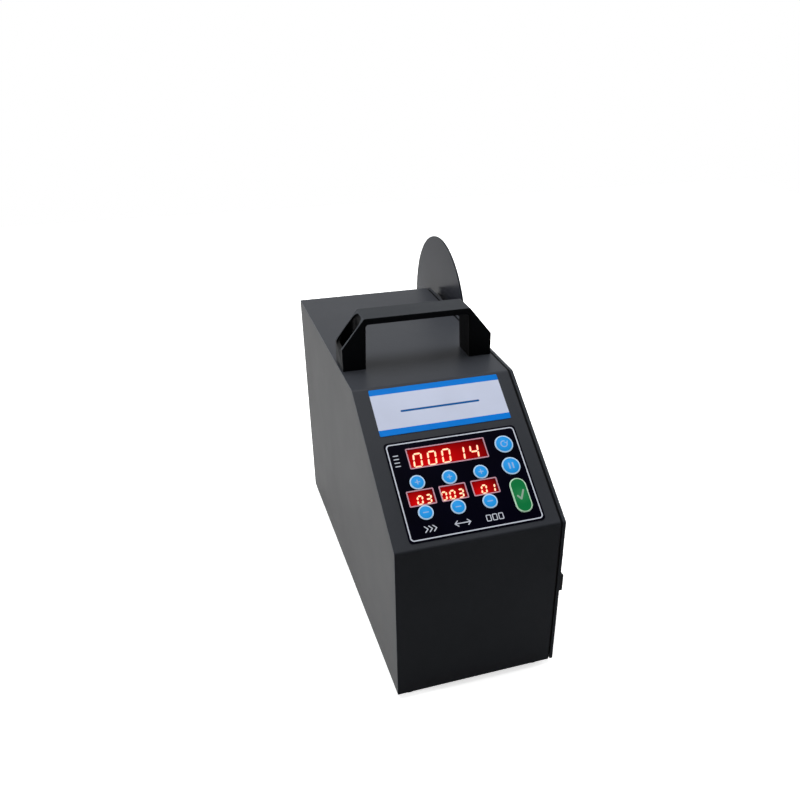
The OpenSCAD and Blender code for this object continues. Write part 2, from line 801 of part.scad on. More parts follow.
module takeup_spindle() color(plain_steel) difference() {
    union() {
        bar(takeup_at, shaft_r, shaft_in, roller_x);
        bar(takeup_at, takeup_core_r, roller_x, web_end);
    }
    for (side = [-1, 1])
        bar(takeup_at + [0, side * takeup_core_r], clip_wire_r + slack, clip_x - slack, web_end + cut);
}

module takeup_disc() color(dark_steel) difference() {
    bar(takeup_at, takeup_disc_r, roller_x + 0.2, roller_x + 0.2 + takeup_disc_t);
    bar(takeup_at, takeup_core_r, roller_x - cut, roller_x + takeup_disc_t + cut);
    for (a = [30:60:330])
        bar(takeup_at + 0.62 * takeup_disc_r * [cos(a), sin(a)], 8, roller_x - cut, roller_x + 4);
}

// Bent wire that clamps the backing paper in the core's two grooves
module takeup_clip() color(plain_steel) {
    bow = takeup_core_r;
    for (side = [-1, 1])
        bar(takeup_at + [0, side * bow], clip_wire_r, clip_x, clip_end);
    housed() translate([clip_end, takeup_at[0], takeup_at[1]]) rotate([0, 90, 0])
        for (side = [-1, 1])
            translate([side * bow, 0, 0]) sphere(r = clip_wire_r);
    housed() translate([clip_end, takeup_at[0], takeup_at[1] - bow])
        cylinder(r = clip_wire_r, h = 2 * bow);
}

// ---- Reel ----

spindle_r = 6;
spindle_flange_t = 2.5;
spindle_end = web_end + 2;
hub_end = web_end - 1;
disc_seat_r = hub_r + 1;             // the hub's shoulder that the reel disc is on

module reel_spindle() color(plain_steel) {
    bar(reel_at, pin_r, inner_x - nut_t - 2, outer_x + 1);
    bar(reel_at, 12, outer_x, outer_x + spindle_flange_t);
    bar(reel_at, spindle_r, outer_x + 1, spindle_end);
}

// Felt ring that drags on the hub, so the reel doesn't run on
module brake_washer() color([0.45, 0.16, 0.14]) difference() {
    bar(reel_at, 12, outer_x + spindle_flange_t, disc_x - 1.4);
    bar(reel_at, spindle_r + fit, outer_x, disc_x);
}

module reel_hub() color(black_plastic) difference() {
    union() {
        bar(reel_at, hub_r + 6, disc_x - 1.2, disc_x);
        bar(reel_at, disc_seat_r, disc_x - 0.2, disc_x + disc_t);
        bar(reel_at, hub_r, disc_x, hub_end - 1);
        bar(reel_at, hub_r - 1, hub_end - 1.2, hub_end);
    }
    bar(reel_at, spindle_r + fit, disc_x - 3, hub_end + cut);
    difference() {
        bar(reel_at, hub_r - 3, disc_x + 4, hub_end + cut);
        bar(reel_at, spindle_r + 4, disc_x + 3, hub_end + 2 * cut);
    }
    for (a = [30, 150, 270])
        across(disc_x + disc_t + 1, hub_end + cut) translate(reel_at) rotate(a)
            translate([hub_r - 1, -1.5]) square([3, 3]);
}

module reel_disc() color(dark_steel) difference() {
    bar(reel_at, reel_r, disc_x, disc_x + disc_t);
    bar(reel_at, disc_seat_r, disc_x - cut, disc_x + disc_t + cut);
}

module hub_retainer() color(plain_steel) difference() {
    bar(reel_at, spindle_r + 3.5, hub_end + 0.2, hub_end + 2.2);
    bar(reel_at, spindle_r, hub_end, spindle_end + cut);
}

// ---- Studs, rollers and arms ----

module stud_nuts() color(plain_steel) {
    for (at = [reel_at, upper_guide_at, lower_guide_at, tension_pivot, pinch_pivot])
        housed() translate([inner_x - nut_t, at[0], at[1]]) rotate([0, 90, 0]) difference() {
            cylinder(r = nut_w / sqrt(3), h = nut_t, $fn = 6);
            translate([0, 0, -cut]) cylinder(r = pin_r, h = nut_t + 2 * cut);
        }
}

module stud(at, r, x0, x1) {
    bar(at, pin_r, inner_x - nut_t - 2, x0 + 0.5);
    bar(at, r, x0, x1);
    bar(at, r + 2.5, x1 - 0.2, x1 + head_t);
}

module guide_studs() color(plain_steel) {
    for (at = [upper_guide_at, lower_guide_at]) {
        stud(at, pin_r, outer_x, web_end + slack);
        bar(at, guide_r - 1, outer_x, web_x - slack);
    }
}

module pivot_studs() color(plain_steel) {
    for (at = [tension_pivot, pinch_pivot])
        stud(at, pivot_r, outer_x, arm_x + arm_hub_l + slack);
}

module roller(at, r, rim) {
    difference() {
        union() {
            bar(at, r, web_x, web_end);
            if (rim > 0)
                for (x = [web_x, web_end - 1.5])
                    bar(at, r + rim, x, x + 1.5);
        }
        bar(at, pin_r + fit, web_x - cut, web_end + cut);
    }
}

module upper_guide_roller() color(plain_steel) roller(upper_guide_at, guide_r, rim_h);
module lower_guide_roller() color(plain_steel) roller(lower_guide_at, guide_r, rim_h);
module tension_roller() color(plain_steel) roller(tension_at, guide_r, rim_h);
module pinch_roller() color(black_rubber) roller(pinch_at, pinch_r, 0);

arm_hub_l = 15;                      // length of an arm's hub along the stud
rings_per_curl = 8;
coil_r = (arm_hub_r + spring_wire_r + slack) / cos(180 / rings_per_curl);
arm_w = 10;
grip_pin_l = 18;                     // how far the lever's pin reaches into the grip

// A flat arm from its hub to a far end, both rounded
module arm_blade(from, to, r0, r1) {
    across(arm_x, arm_x + arm_t) translate(from) belt_outline(r0, r1, to - from);
}

module arm_hub(at) {
    bar(at, arm_hub_r, arm_x, arm_x + arm_hub_l);
}

module arm_bore(at) {
    bar(at, pivot_r + fit, arm_x - cut, arm_x + arm_hub_l + cut);
}

// The fixed pin through a roller on an arm
module arm_pin(at) {
    bar(at, pin_r + 2, arm_x, web_x - slack);
    bar(at, pin_r, arm_x + 1, web_end + slack + 0.2);
    bar(at, pin_r + 2.5, web_end + slack, web_end + slack + head_t);
}

// A spring's peg stands on the arm, clear of the coil
peg_r = 1.5;
peg_reach = coil_r + 8;
function peg_place(pivot, to) = pivot + unit(to - pivot) * peg_reach;

module tension_arm() color(dark_steel) difference() {
    union() {
        arm_blade(tension_pivot, tension_at, arm_hub_r + 2, arm_w / 2 + 1);
        arm_hub(tension_pivot);
        arm_pin(tension_at);
        bar(peg_place(tension_pivot, tension_at), peg_r, arm_x, arm_x + arm_t + 5);
    }
    arm_bore(tension_pivot);
}

module pinch_lever() color(dark_steel) difference() {
    union() {
        arm_blade(pinch_pivot, pinch_at, arm_hub_r + 2, arm_w / 2 + 1);
        arm_blade(pinch_pivot, pinch_grip_at, arm_hub_r + 2, arm_w / 2);
        arm_hub(pinch_pivot);
        arm_pin(pinch_at);
        bar(pinch_grip_at, pin_r, arm_x, arm_x + arm_t + grip_pin_l);
        bar(peg_place(pinch_pivot, pinch_grip_at), peg_r, arm_x, arm_x + arm_t + 5);
    }
    arm_bore(pinch_pivot);
}

// Finger grip on the lever's free end
module pinch_grip() color([0.70, 0.07, 0.06]) difference() {
    housed() translate([arm_x + arm_t + slack, pinch_grip_at[0], pinch_grip_at[1]]) rotate([0, 90, 0])
        rotate_extrude() polygon([
            [0, 0], [5.6, 0], [6.2, 1], [5.4, 6], [5.6, 12], [7, 17], [6.6, 19.4], [4.6, 21], [0, 21.6]
        ]);
    bar(pinch_grip_at, pin_r, arm_x, arm_x + arm_t + grip_pin_l);
}

// A torsion spring's centre line about X: a long leg, the curls and a short tail.
// "start" and "finish" are angles about the pivot; hand is 1 or -1.
function around(angle) = [0, cos(angle), sin(angle)];
function spring_path(start, finish, hand) =
    let (turn = 360 * spring_curls + hand * (finish - start),
         steps = round(turn * rings_per_curl / 360), rise = spring_pitch * turn / 360)
        concat(
            [coil_r * around(start) - hand * spring_leg * around(start + 90)],
            [for (i = [0:steps])
                [rise * i / steps, 0, 0] + coil_r * around(start + hand * turn * i / steps)],
            [[rise, 0, 0] + coil_r * around(finish) + hand * spring_tail * around(finish + 90)]);

function path_tangent(p, i) = unit(p[min(i + 1, len(p) - 1)] - p[max(i - 1, 0)]);
// Least gap between two stretches of the wire that lie half a curl apart or more
function least_gap(p) =
    min([for (i = [0:len(p) - 1]) for (j = [i + rings_per_curl / 2:len(p) - 1]) norm(p[i] - p[j])])
    - 2 * spring_wire_r;

// One unbroken wire along a path that never runs along X
module wire(p) {
    sides = 6;
    n = len(p);
    rings = [
        for (i = [0:n - 1])
            let (t = path_tangent(p, i), a = unit(cross(t, [1, 0, 0])), b = cross(t, a))
                for (k = [0:sides - 1])
                    p[i] + spring_wire_r * (a * cos(k * 360 / sides) + b * sin(k * 360 / sides))
    ];
    polyhedron(
        points = concat(rings, [p[0], p[n - 1]]),
        faces = concat(
            [for (i = [0:n - 2]) for (k = [0:sides - 1])
                [i * sides + k, (i + 1) * sides + k, i * sides + (k + 1) % sides]],
            [for (i = [0:n - 2]) for (k = [0:sides - 1])
                [(i + 1) * sides + k, (i + 1) * sides + (k + 1) % sides, i * sides + (k + 1) % sides]],
            [for (k = [0:sides - 1]) [n * sides, k, (k + 1) % sides]],
            [for (k = [0:sides - 1])
                [n * sides + 1, (n - 1) * sides + (k + 1) % sides, (n - 1) * sides + k]]));
}

spring_x = arm_x + arm_t + 0.5 + spring_wire_r;
// Turn from an arm's heading to where the leg that presses on its peg leaves the coil
leg_turn = acos((coil_r - peg_r - spring_wire_r - fit) / peg_reach);
function heading(v) = atan2(v[1], v[0]);
tension_path = spring_path(heading(tension_at - tension_pivot) + leg_turn, tension_tail_at, 1);
pinch_path = spring_path(heading(pinch_grip_at - pinch_pivot) - leg_turn, pinch_tail_at, -1);

module torsion_spring(pivot, path) {
    housed() translate([spring_x, pivot[0], pivot[1]]) wire(path);
}

module tension_spring() color(plain_steel) torsion_spring(tension_pivot, tension_path);
module pinch_spring() color(plain_steel) torsion_spring(pinch_pivot, pinch_path);

echo(least_gap_tension_spring = least_gap(tension_path));
echo(least_gap_pinch_spring = least_gap(pinch_path));

// ---- Peel plate and label sensor ----

peel_block_t = 10;
peel_block_h = 12;
peel_block_y = [12, 48];             // where the block starts and ends, from the edge
peel_screws_at = [for (y = peel_block_y + [6, -6]) [peel_edge_y + y, peel_top - 9]];

// Peel plate with its bevelled edge and the foot that bolts to the side plate
module peel_plate() color([0.80, 0.81, 0.83]) difference() {
    union() {
        across(outer_x, web_end) polygon([
            [peel_edge_y, peel_top], [peel_edge_y + peel_l, peel_top],
            [peel_edge_y + peel_l, peel_top - peel_t],
            [peel_edge_y + peel_block_y[0], peel_top - peel_t], [peel_edge_y, peel_top - edge_t]
        ]);
        across(outer_x, outer_x + peel_block_t)
            translate([peel_edge_y + peel_block_y[0], peel_top - peel_t - peel_block_h])
                square([peel_block_y[1] - peel_block_y[0], peel_block_h + peel_t / 2]);
    }
    for (at = peel_screws_at)
        bar(at, screw_r + fit, outer_x - cut, inner_x + screw_l + slack);
}

slide_pin_r = 2.4;
slide_pin_y = 8;
slot_half = sensor_travel + slide_pin_y;
sensor_foot = [30, 14];
sensor_foot_t = 3;
sensor_foot_x = outer_x + slack;
sensor_size = [14, 10, 19];
sensor_end = web_end + 1.6;
strap_t = 3;
thumbscrew_r = 2.5;

// Foot that slides along the side plate's slot, with the strap for the sensor
module sensor_bracket() color(dark_steel) {
    x1 = sensor_foot_x + sensor_foot_t;
    strap_y = peel_edge_y - 1 - strap_t;
    difference() {
        union() {
            across(sensor_foot_x, x1)
                translate([sensor_y, sensor_z]) rounded_rect(sensor_foot, 3);
            across(sensor_foot_x, sensor_end - sensor_size[0] / 2)
                translate([strap_y, sensor_z - 3]) square([strap_t, 6]);
            across(sensor_foot_x, x1)
                translate([strap_y, sensor_z - 3]) square([sensor_y - strap_y, 6]);
        }
        bar([sensor_y, sensor_z], thumbscrew_r + fit, sensor_foot_x - cut, x1 + cut);
    }
    for (y = [-1, 1]) {
        at = [sensor_y + slide_pin_y * y, sensor_z];
        bar(at, slide_pin_r, inner_x - slack - 1, sensor_foot_x + 1);
        bar(at, slide_pin_r + 1.8, inner_x - slack - 2, inner_x - slack);
    }
}

// Reflective sensor that looks up at the label's leading edge
module label_sensor() color(black_plastic) housed()
    translate([sensor_end - sensor_size[0], peel_edge_y - 1, sensor_z - sensor_size[2] / 2]) {
        difference() {
            cube(sensor_size);
            translate([-cut, sensor_size[1] - 3, -cut]) cube([sensor_size[0] + 2 * cut, 4, 6]);
        }
        for (x = [0.3, 0.7])
            translate([x * sensor_size[0], sensor_size[1] / 2, sensor_size[2] - 0.5])
                cylinder(r = 1.8, h = 1.3);
    }

// Thumbscrew that locks the sensor's foot to the side plate
module sensor_knob() color(black_plastic) {
    x0 = sensor_foot_x + sensor_foot_t + 0.2;
    at = [sensor_y, sensor_z];
    bar(at, thumbscrew_r, sensor_foot_x, x0 + 1);
    bar(at, 5, x0, x0 + 3);
    difference() {
        bar(at, 8, x0 + 2.5, x0 + 11);
        for (a = [0:30:330])
            bar(at + 8.6 * [cos(a), sin(a)], 1.2, x0 + 1, x0 + 12);
        bar(at, 5.6, x0 + 10.2, x0 + 12);
    }
}

// ---- Power ----

supply_size = [50, 112, 36];
supply_at = [-cover_x + sheet_t + 5.5, 48];
vent = [22, 2.2];

module power_supply() color([0.75, 0.76, 0.78]) housed()
    translate([supply_at[0], supply_at[1], sheet_t + base_t]) {
        difference() {
            cube(supply_size);
            translate([-cut, -cut, 12]) cube([supply_size[0] + 2 * cut, 14, supply_size[2]]);
            for (i = [0:8])
                translate([supply_size[0] / 2 - vent[0] / 2, 34 + 7 * i, supply_size[2] - 1])
                    cube([vent[0], vent[1], 2]);
        }
        difference() {
            translate([3, 1, 11]) cube([supply_size[0] - 6, 10, 10]);
            for (i = [0:4])
                translate([8 + 8.5 * i, 5.5, 18]) cylinder(r = 2.4, h = 4);
        }
    }

// An (X, Z) outline on the back panel, from y0 to y1 measured out of the panel
module on_back(y0, y1) {
    housed() translate([inlet_at[0], back_y + y1, inlet_at[1]]) rotate([90, 0, 0])
        linear_extrude(y1 - y0) children();
}

socket_z = -12;
socket = [24, 16];
socket_depth = 14;
blade_l = 11;
rocker_z = 14;
rocker_hole = [19, 13];
rocker_depth = 8;
rocker_pivot = -2;
rocker_tilt = 7.5;
rocker_pin_r = 1.2;

module socket_outline() {
    x = socket[0] / 2;
    z = socket[1] / 2;
    translate([0, socket_z])
        polygon([[-x, -z], [x, -z], [x, z - 4], [x - 4, z], [4 - x, z], [-x, z - 4]]);
}

// Mains inlet with three blades, in one moulding with the rocker's housing
module power_inlet() color(black_plastic) {
    difference() {
        union() {
            on_back(0, inlet_flange_t) rounded_rect(inlet_body + inlet_flange, 3);
            on_back(-inlet_depth, 1) rounded_rect(inlet_body, 1);
        }
        on_back(-socket_depth, inlet_flange_t + cut) socket_outline();
        on_back(-rocker_depth, inlet_flange_t + cut)
            translate([0, rocker_z]) square(rocker_hole, center = true);
        at_rocker() cylinder(r = rocker_pin_r + fit, h = rocker_hole[1] + 2.4, center = true);
    }
    for (blade = [[-7, -2], [0, 2], [7, -2]])
        on_back(-socket_depth - 1, -socket_depth + blade_l)
            translate([blade[0], socket_z + blade[1]]) square([2, 4], center = true);
}

module at_rocker() {
    housed() translate([inlet_at[0], back_y + rocker_pivot, inlet_at[1] + rocker_z]) children();
}

module rocker_switch() color([0.55, 0.06, 0.05]) at_rocker() rotate([0, 0, -rocker_tilt]) {
    half = rocker_hole[0] / 2 - 0.8;
    ear = 4 + half * tan(rocker_tilt);
    linear_extrude(rocker_hole[1] - 0.4, center = true)
        polygon([[-half, -1], [half, -1], [half, ear], [0, 4], [-half, ear]]);
    cylinder(r = rocker_pin_r, h = rocker_hole[1] + 1.6, center = true);
}

cover();
left_panel();
side_plate();
base_plate();
tie_rods();
button_head_screws();
feet();
handle();
nameplate();
control_overlay();
number_displays();
control_board();
speed_up_button();
length_up_button();
rows_up_button();
speed_down_button();
length_down_button();
rows_down_button();
reset_button();
pause_button();
confirm_button();
stepper_motor();
motor_shaft();
motor_bracket();
motor_pulley();
drive_belt();
drive_pulley();
drive_shaft();
drive_roller();
bearing_housings();
ball_bearings();
takeup_belt();
takeup_pulley();
takeup_spindle();
takeup_disc();
takeup_clip();
reel_spindle();
reel_hub();
reel_disc();
brake_washer();
hub_retainer();
stud_nuts();
guide_studs();
upper_guide_roller();
lower_guide_roller();
pivot_studs();
tension_arm();
tension_roller();
tension_spring();
pinch_lever();
pinch_grip();
pinch_roller();
pinch_spring();
peel_plate();
sensor_bracket();
label_sensor();
sensor_knob();
power_supply();
power_inlet();
rocker_switch();
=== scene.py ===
"""Looks of the desktop label dispenser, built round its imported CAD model."""
import math

import bmesh
import bpy
from mathutils import Matrix, Vector


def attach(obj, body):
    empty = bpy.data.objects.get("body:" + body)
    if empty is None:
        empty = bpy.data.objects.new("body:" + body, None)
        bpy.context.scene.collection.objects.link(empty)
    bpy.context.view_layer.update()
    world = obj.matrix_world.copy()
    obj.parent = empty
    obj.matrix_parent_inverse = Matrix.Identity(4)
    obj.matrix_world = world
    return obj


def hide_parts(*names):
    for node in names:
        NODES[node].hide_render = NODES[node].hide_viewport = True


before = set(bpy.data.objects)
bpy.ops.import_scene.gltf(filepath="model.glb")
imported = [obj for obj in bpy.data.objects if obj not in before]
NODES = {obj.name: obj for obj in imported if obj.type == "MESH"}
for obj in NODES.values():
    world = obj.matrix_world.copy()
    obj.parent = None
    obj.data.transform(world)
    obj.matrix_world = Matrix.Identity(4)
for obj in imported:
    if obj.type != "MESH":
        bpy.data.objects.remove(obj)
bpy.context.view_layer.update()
MM = 0.001

# The housing's own sizes, in metres
FOOT_H = 6 * MM
HOUSING_H = 245 * MM
FRONT_H = 158 * MM
HOUSING_D = 387 * MM
TOP_D = 255 * MM
BEND_Y = HOUSING_D / 2 - TOP_D
SLOPE = math.atan2(HOUSING_H - FRONT_H, BEND_Y + HOUSING_D / 2)
BEND_POINT = Vector((0, BEND_Y, HOUSING_H + FOOT_H))
# Takes (across, up the slope, out of the slope) to the row frame
SLOPE_FRAME = Matrix.Translation(BEND_POINT) @ Matrix.Rotation(SLOPE, 4, "X")


# ---- Node trees ----


class Nodes:
    """A node tree that is written as plain expressions."""

    def __init__(self, tree):
        self.tree = tree

    def feed(self, socket, value):
        """Links value to the socket, or sets it there if it is a constant."""
        if isinstance(value, bpy.types.NodeSocket):
            self.tree.links.new(value, socket)
        elif hasattr(socket.default_value, "__len__"):
            value = tuple(value)
            socket.default_value = value + (1,) if len(socket.default_value) == len(value) + 1 else value
        else:
            socket.default_value = value

    def feed_all(self, node, sockets):
        """Feeds the node's sockets by name, such as Base_Color."""
        for name, value in sockets.items():
            self.feed(node.inputs[name.replace("_", " ")], value)

    def node(self, kind, settings=(), **sockets):
        node = self.tree.nodes.new("ShaderNode" + kind)
        for name, value in dict(settings).items():
            setattr(node, name, value)
        self.feed_all(node, sockets)
        return node

    def math(self, operation, *values):
        node = self.node("Math", {"operation": operation})
        for socket, value in zip(node.inputs, values):
            self.feed(socket, value)
        return node.outputs[0]

    def add(self, a, b):
        return self.math("ADD", a, b)

    def sub(self, a, b):
        return self.math("SUBTRACT", a, b)

    def mul(self, a, b):
        return self.math("MULTIPLY", a, b)

    def size_of(self, a):
        return self.math("ABSOLUTE", a)

    def length(self, a, b):
        """The length of the flat vector (a, b)."""
        return self.math("SQRT", self.add(self.mul(a, a), self.mul(b, b)))

    def largest(self, first, *rest):
        for value in rest:
            first = self.math("MAXIMUM", first, value)
        return first

    def mix(self, share, a, b):
        """The colour a where share is 0, and b where it is 1."""
        node = self.node("Mix", {"data_type": "RGBA"})
        colours = [s for s in node.inputs if s.type == "RGBA"]
        self.feed(node.inputs[0], share)
        self.feed(colours[0], a)
        self.feed(colours[1], b)
        return next(s for s in node.outputs if s.type == "RGBA")

    def mix_shaders(self, share, a, b):
        """The shader a where share is 0, and b where it is 1."""
        node = self.node("MixShader")
        for socket, value in zip(node.inputs, (share, a, b)):
            self.feed(socket, value)
        return node.outputs[0]

    def ramp(self, value, low, high, at_low=0, at_high=1):
        """at_low below low, at_high above high, and even between."""
        node = self.node("MapRange", {"clamp": True}, Value=value, From_Min=low, From_Max=high,
                         To_Min=at_low, To_Max=at_high)
        return node.outputs[0]

    def axes(self, vector):
        return self.node("SeparateXYZ", Vector=vector).outputs


class Material(Nodes):
    """A material with one Principled shader."""

    def __init__(self, name, **constants):
        self.data = bpy.data.materials.new(name)
        self.data.use_nodes = True
        super().__init__(self.data.node_tree)
        self.shader = self.tree.nodes["Principled BSDF"]
        self.set(**constants)

    def set(self, **sockets):
        self.feed_all(self.shader, sockets)
        return self

    def place(self):
        """The point in the row frame, in metres."""
        return self.node("TexCoord").outputs["Object"]

    def stretched(self, scale):
        return self.node("Mapping", Vector=self.place(), Scale=scale).outputs[0]

    def noise(self, scale, detail=2.0, at=None):
        node = self.node("TexNoise", Vector=at or self.place(), Scale=scale, Detail=detail)
        return node.outputs["Fac"]

    def cells(self, scale, feature="F1"):
        node = self.node("TexVoronoi", {"feature": feature}, Vector=self.place(), Scale=scale)
        return node.outputs["Distance"]

    def bump(self, height, depth, strength=1.0):
        """Tilts the surface as if height, from 0 to 1, stood up by depth metres."""
        node = self.node("Bump", Height=height, Distance=depth, Strength=strength)
        return self.set(Normal=node.outputs[0])

    def mottled(self, colour, amount, scale, detail=4.0):
        """The colour, a little darker and lighter in soft patches."""
        darker = [c * (1 - amount) for c in colour]
        lighter = [min(1, c * (1 + amount)) for c in colour]
        return self.mix(self.ramp(self.noise(scale, detail), 0.35, 0.65), darker, lighter)

    def roughened(self, middle, spread, scale):
        """Sets a roughness that varies by spread round its middle."""
        return self.set(Roughness=self.add(self.mul(self.noise(scale), spread), middle - spread / 2))


# ---- Camera, light and floor ----

IMAGE_SIDE = 800
SENSOR_W = 36
FOCAL_PX = 824.77
CENTRE_PX = (449.62, 479.45)      # where the lens axis meets the photograph
CAMERA_AT = Vector((-213.15, -717.82, 564.01)) * MM
CAMERA_AZIMUTH = math.radians(19.42)
CAMERA_ELEVATION = math.radians(31.23)
CAMERA_ROLL = math.radians(0.867)

LAMP_AIM = Vector((0, 0, 0.12))
LAMPS = [                         # name, place, side of the square and watts
    ("low_left", (-1.7, -0.1, 0.17), 0.38, 38),
    ("overhead", (-0.1, 0.3, 2.2), 1.8, 48),
    ("right_fill", (2.4, 0.4, 1.0), 1.6, 36),
]
WORLD_FILL = 0.05                 # light that the world adds from all round
WORLD_TINT = (0.93, 0.96, 1.0)
STUDIO_FRONT = 0.22               # what reflections see of the white studio in front of the machine
STUDIO_FADE = (-0.35, 0.55)       # where it rises to full white, along the direction's y

FLOOR_SIDE = 3.4
FLOOR_DROP = 0.0002               # keeps the floor just below the feet
FLOOR_SEEN = (0.93, 0.93, 0.93)
FLOOR_BOUNCE = (0.23, 0.23, 0.23)  # how pale the floor is for the light that it throws back
FLOOR_GLOW = 0.72                 # keeps the floor white near the machine, in all but its shadow
GLOW_NEAR, GLOW_FAR = 0.45, 0.9   # metres from the middle over which it rises to full white


def make_camera():
    data = bpy.data.cameras.new("camera")
    data.sensor_width = SENSOR_W
    data.lens = FOCAL_PX / IMAGE_SIDE * data.sensor_width
    data.shift_x = (IMAGE_SIDE / 2 - CENTRE_PX[0]) / IMAGE_SIDE
    data.shift_y = (CENTRE_PX[1] - IMAGE_SIDE / 2) / IMAGE_SIDE
    data.clip_start = 0.01
    camera = bpy.data.objects.new("camera", data)
    camera.matrix_world = (
        Matrix.Translation(CAMERA_AT)
        @ Matrix.Rotation(-CAMERA_AZIMUTH, 4, "Z")
        @ Matrix.Rotation(math.pi / 2 - CAMERA_ELEVATION, 4, "X")
        @ Matrix.Rotation(CAMERA_ROLL, 4, "Z")
    )
    bpy.context.scene.collection.objects.link(camera)
    bpy.context.scene.camera = camera


def add_lamp(name, place, side, watts):
    """A square soft box at place that faces the middle of the machine."""
    data = bpy.data.lights.new(name, "AREA")
    data.shape = "SQUARE"
    data.size = side
    data.energy = watts
    lamp = bpy.data.objects.new(name, data)
    lamp.location = place
    aim = LAMP_AIM - lamp.location
    lamp.rotation_euler = aim.to_track_quat("-Z", "Y").to_euler()
    bpy.context.scene.collection.objects.link(lamp)


def seen_directly(n):
    """1 for camera, glossy and transmission rays, and 0 for the rest."""
    rays = n.node("LightPath").outputs
    return n.largest(rays["Is Camera Ray"], rays["Is Glossy Ray"], rays["Is Transmission Ray"])


def make_world():
    """A dim fill light, which every ray that sees the studio itself finds white instead."""
    world = bpy.data.worlds.new("studio")
    world.use_nodes = True
    n = Nodes(world.node_tree)
    fill = n.tree.nodes["Background"]
    n.feed_all(fill, {"Color": WORLD_TINT, "Strength": WORLD_FILL})
    # Reflections see a studio that is white behind the machine and dimmer in front of it
    _, y, _ = n.axes(n.node("TexCoord").outputs["Generated"])
    reflected = n.ramp(y, *STUDIO_FADE, STUDIO_FRONT, 1)
    strength = n.largest(reflected, n.node("LightPath").outputs["Is Camera Ray"])
    white = n.node("Background", Color=(1, 1, 1), Strength=strength)
    surface = n.mix_shaders(seen_directly(n), fill.outputs[0], white.outputs[0])
    n.feed(n.tree.nodes["World Output"].inputs["Surface"], surface)
    bpy.context.scene.world = world


def make_floor():
    bpy.ops.mesh.primitive_grid_add(
        x_subdivisions=8, y_subdivisions=8, size=FLOOR_SIDE, location=(0, 0, -FLOOR_DROP))
    floor = bpy.context.object
    floor.name = "studio_floor"
    m = Material(
        "studio_floor", Base_Color=FLOOR_SEEN, Roughness=1, Specular_IOR_Level=0, Emission_Color=(1, 1, 1))
    reach = m.node("VectorMath", {"operation": "LENGTH"}, Vector=m.place()).outputs["Value"]
    glow = m.ramp(reach, GLOW_NEAR, GLOW_FAR, FLOOR_GLOW, 1)
    m.set(Emission_Strength=m.mul(glow, m.node("LightPath").outputs["Is Camera Ray"]))
    bounce = m.node("BsdfDiffuse", Color=FLOOR_BOUNCE)
    surface = m.mix_shaders(seen_directly(m), bounce.outputs[0], m.shader.outputs[0])
    m.feed(m.tree.nodes["Material Output"].inputs["Surface"], surface)
    floor.data.materials.append(m.data)


bpy.context.scene.view_settings.view_transform = "Standard"
make_camera()
make_world()
make_floor()
for lamp in LAMPS:
    add_lamp(*lamp)


# ---- Paints, plastics and metals ----

COVER_EDGE_X = 75 * MM            # the cover's right edge, beside the plate
SEAM_W = 0.9 * MM
# Painted shade colour for the gap between the cover and the plate
SEAM_SHADE_COLOUR = (0.004, 0.004, 0.005)


def powder_coat(name, colour, roughness=0.55, specular=0.06, seam=False, grain=0.03 * MM):
    m = Material(name, Specular_IOR_Level=specular)
    speckle = m.mul(m.ramp(m.noise(2600), 0.45, 0.7), 0.35)
    base = m.mix(speckle, m.mottled(colour, 0.06, 11), [c * 1.35 for c in colour])
    if seam:
        # Painted shade: a dark line along the cover's cut edge beside the plate stands in for the shadow in
        # the narrow gap to the plate
        x, _, _ = m.axes(m.place())
        painted_gap_shade = m.ramp(x, COVER_EDGE_X - SEAM_W, COVER_EDGE_X - 0.8 * SEAM_W)
        base = m.mix(painted_gap_shade, base, SEAM_SHADE_COLOUR)
    m.set(Base_Color=base).roughened(roughness, 0.08, 30)
    return m.bump(m.noise(1500, 3), grain, 0.6)


def moulded(name, colour, roughness=0.45, specular=0.4):
    m = Material(name, Specular_IOR_Level=specular)
    m.set(Base_Color=m.mottled(colour, 0.10, 25)).roughened(roughness, 0.12, 60)
    return m.bump(m.cells(1800, "SMOOTH_F1"), 0.02 * MM, 0.5)


def glossy_moulding(name, colour):
    m = Material(name, Specular_IOR_Level=0.5)
    m.set(Base_Color=m.mottled(colour, 0.05, 60)).roughened(0.26, 0.08, 200)
    return m.bump(m.noise(700), 0.01 * MM, 0.4)


def rubber(name, colour, roughness=0.75):
    m = Material(name, Specular_IOR_Level=0.3)
    dust = m.ramp(m.noise(140, 5), 0.55, 0.75)
    m.set(Base_Color=m.mix(m.mul(dust, 0.25), m.mottled(colour, 0.15, 40), [c + 0.03 for c in colour]))
    m.set(Roughness=m.add(m.mul(dust, 0.1), roughness))
    return m.bump(m.noise(1200, 4), 0.05 * MM, 0.6)


def turned_metal(name, colour, roughness=0.32, lines=(5200, 40, 40)):
    """Bare metal with the fine lines that turning or brushing leaves."""
    m = Material(name, Metallic=1)
    streak = m.noise(1, 3, at=m.stretched(lines))
    tone = m.mix(streak, [c * 0.82 for c in colour], [min(1, c * 1.12) for c in colour])
    m.set(Base_Color=tone, Roughness=m.add(m.mul(streak, 0.16), roughness - 0.08))
    return m.bump(streak, 0.01 * MM, 0.5)


def felt(name, colour):
    m = Material(name, Roughness=0.95, Sheen_Weight=0.4)
    m.set(Base_Color=m.mottled(colour, 0.3, 900))
    return m.bump(m.noise(1600, 6), 0.2 * MM)


def circuit_board(name):
    """Green lacquer with slanting tracks in patches."""
    m = Material(name, Roughness=0.35)
    x, y, _ = m.axes(m.stretched((400, 400, 400)))
    across = m.add(m.math("FLOOR", m.mul(x, 0.8)), m.mul(y, 0.7))
    tracks = m.math("LESS_THAN", m.math("FRACT", across), 0.22)
    patches = m.math("GREATER_THAN", m.noise(90), 0.52)
    copper = m.mul(tracks, patches)
    m.set(Base_Color=m.mix(copper, (0.008, 0.085, 0.035), (0.02, 0.17, 0.07)))
    return m.bump(copper, 0.03 * MM)


# ---- Printing on the slope ----

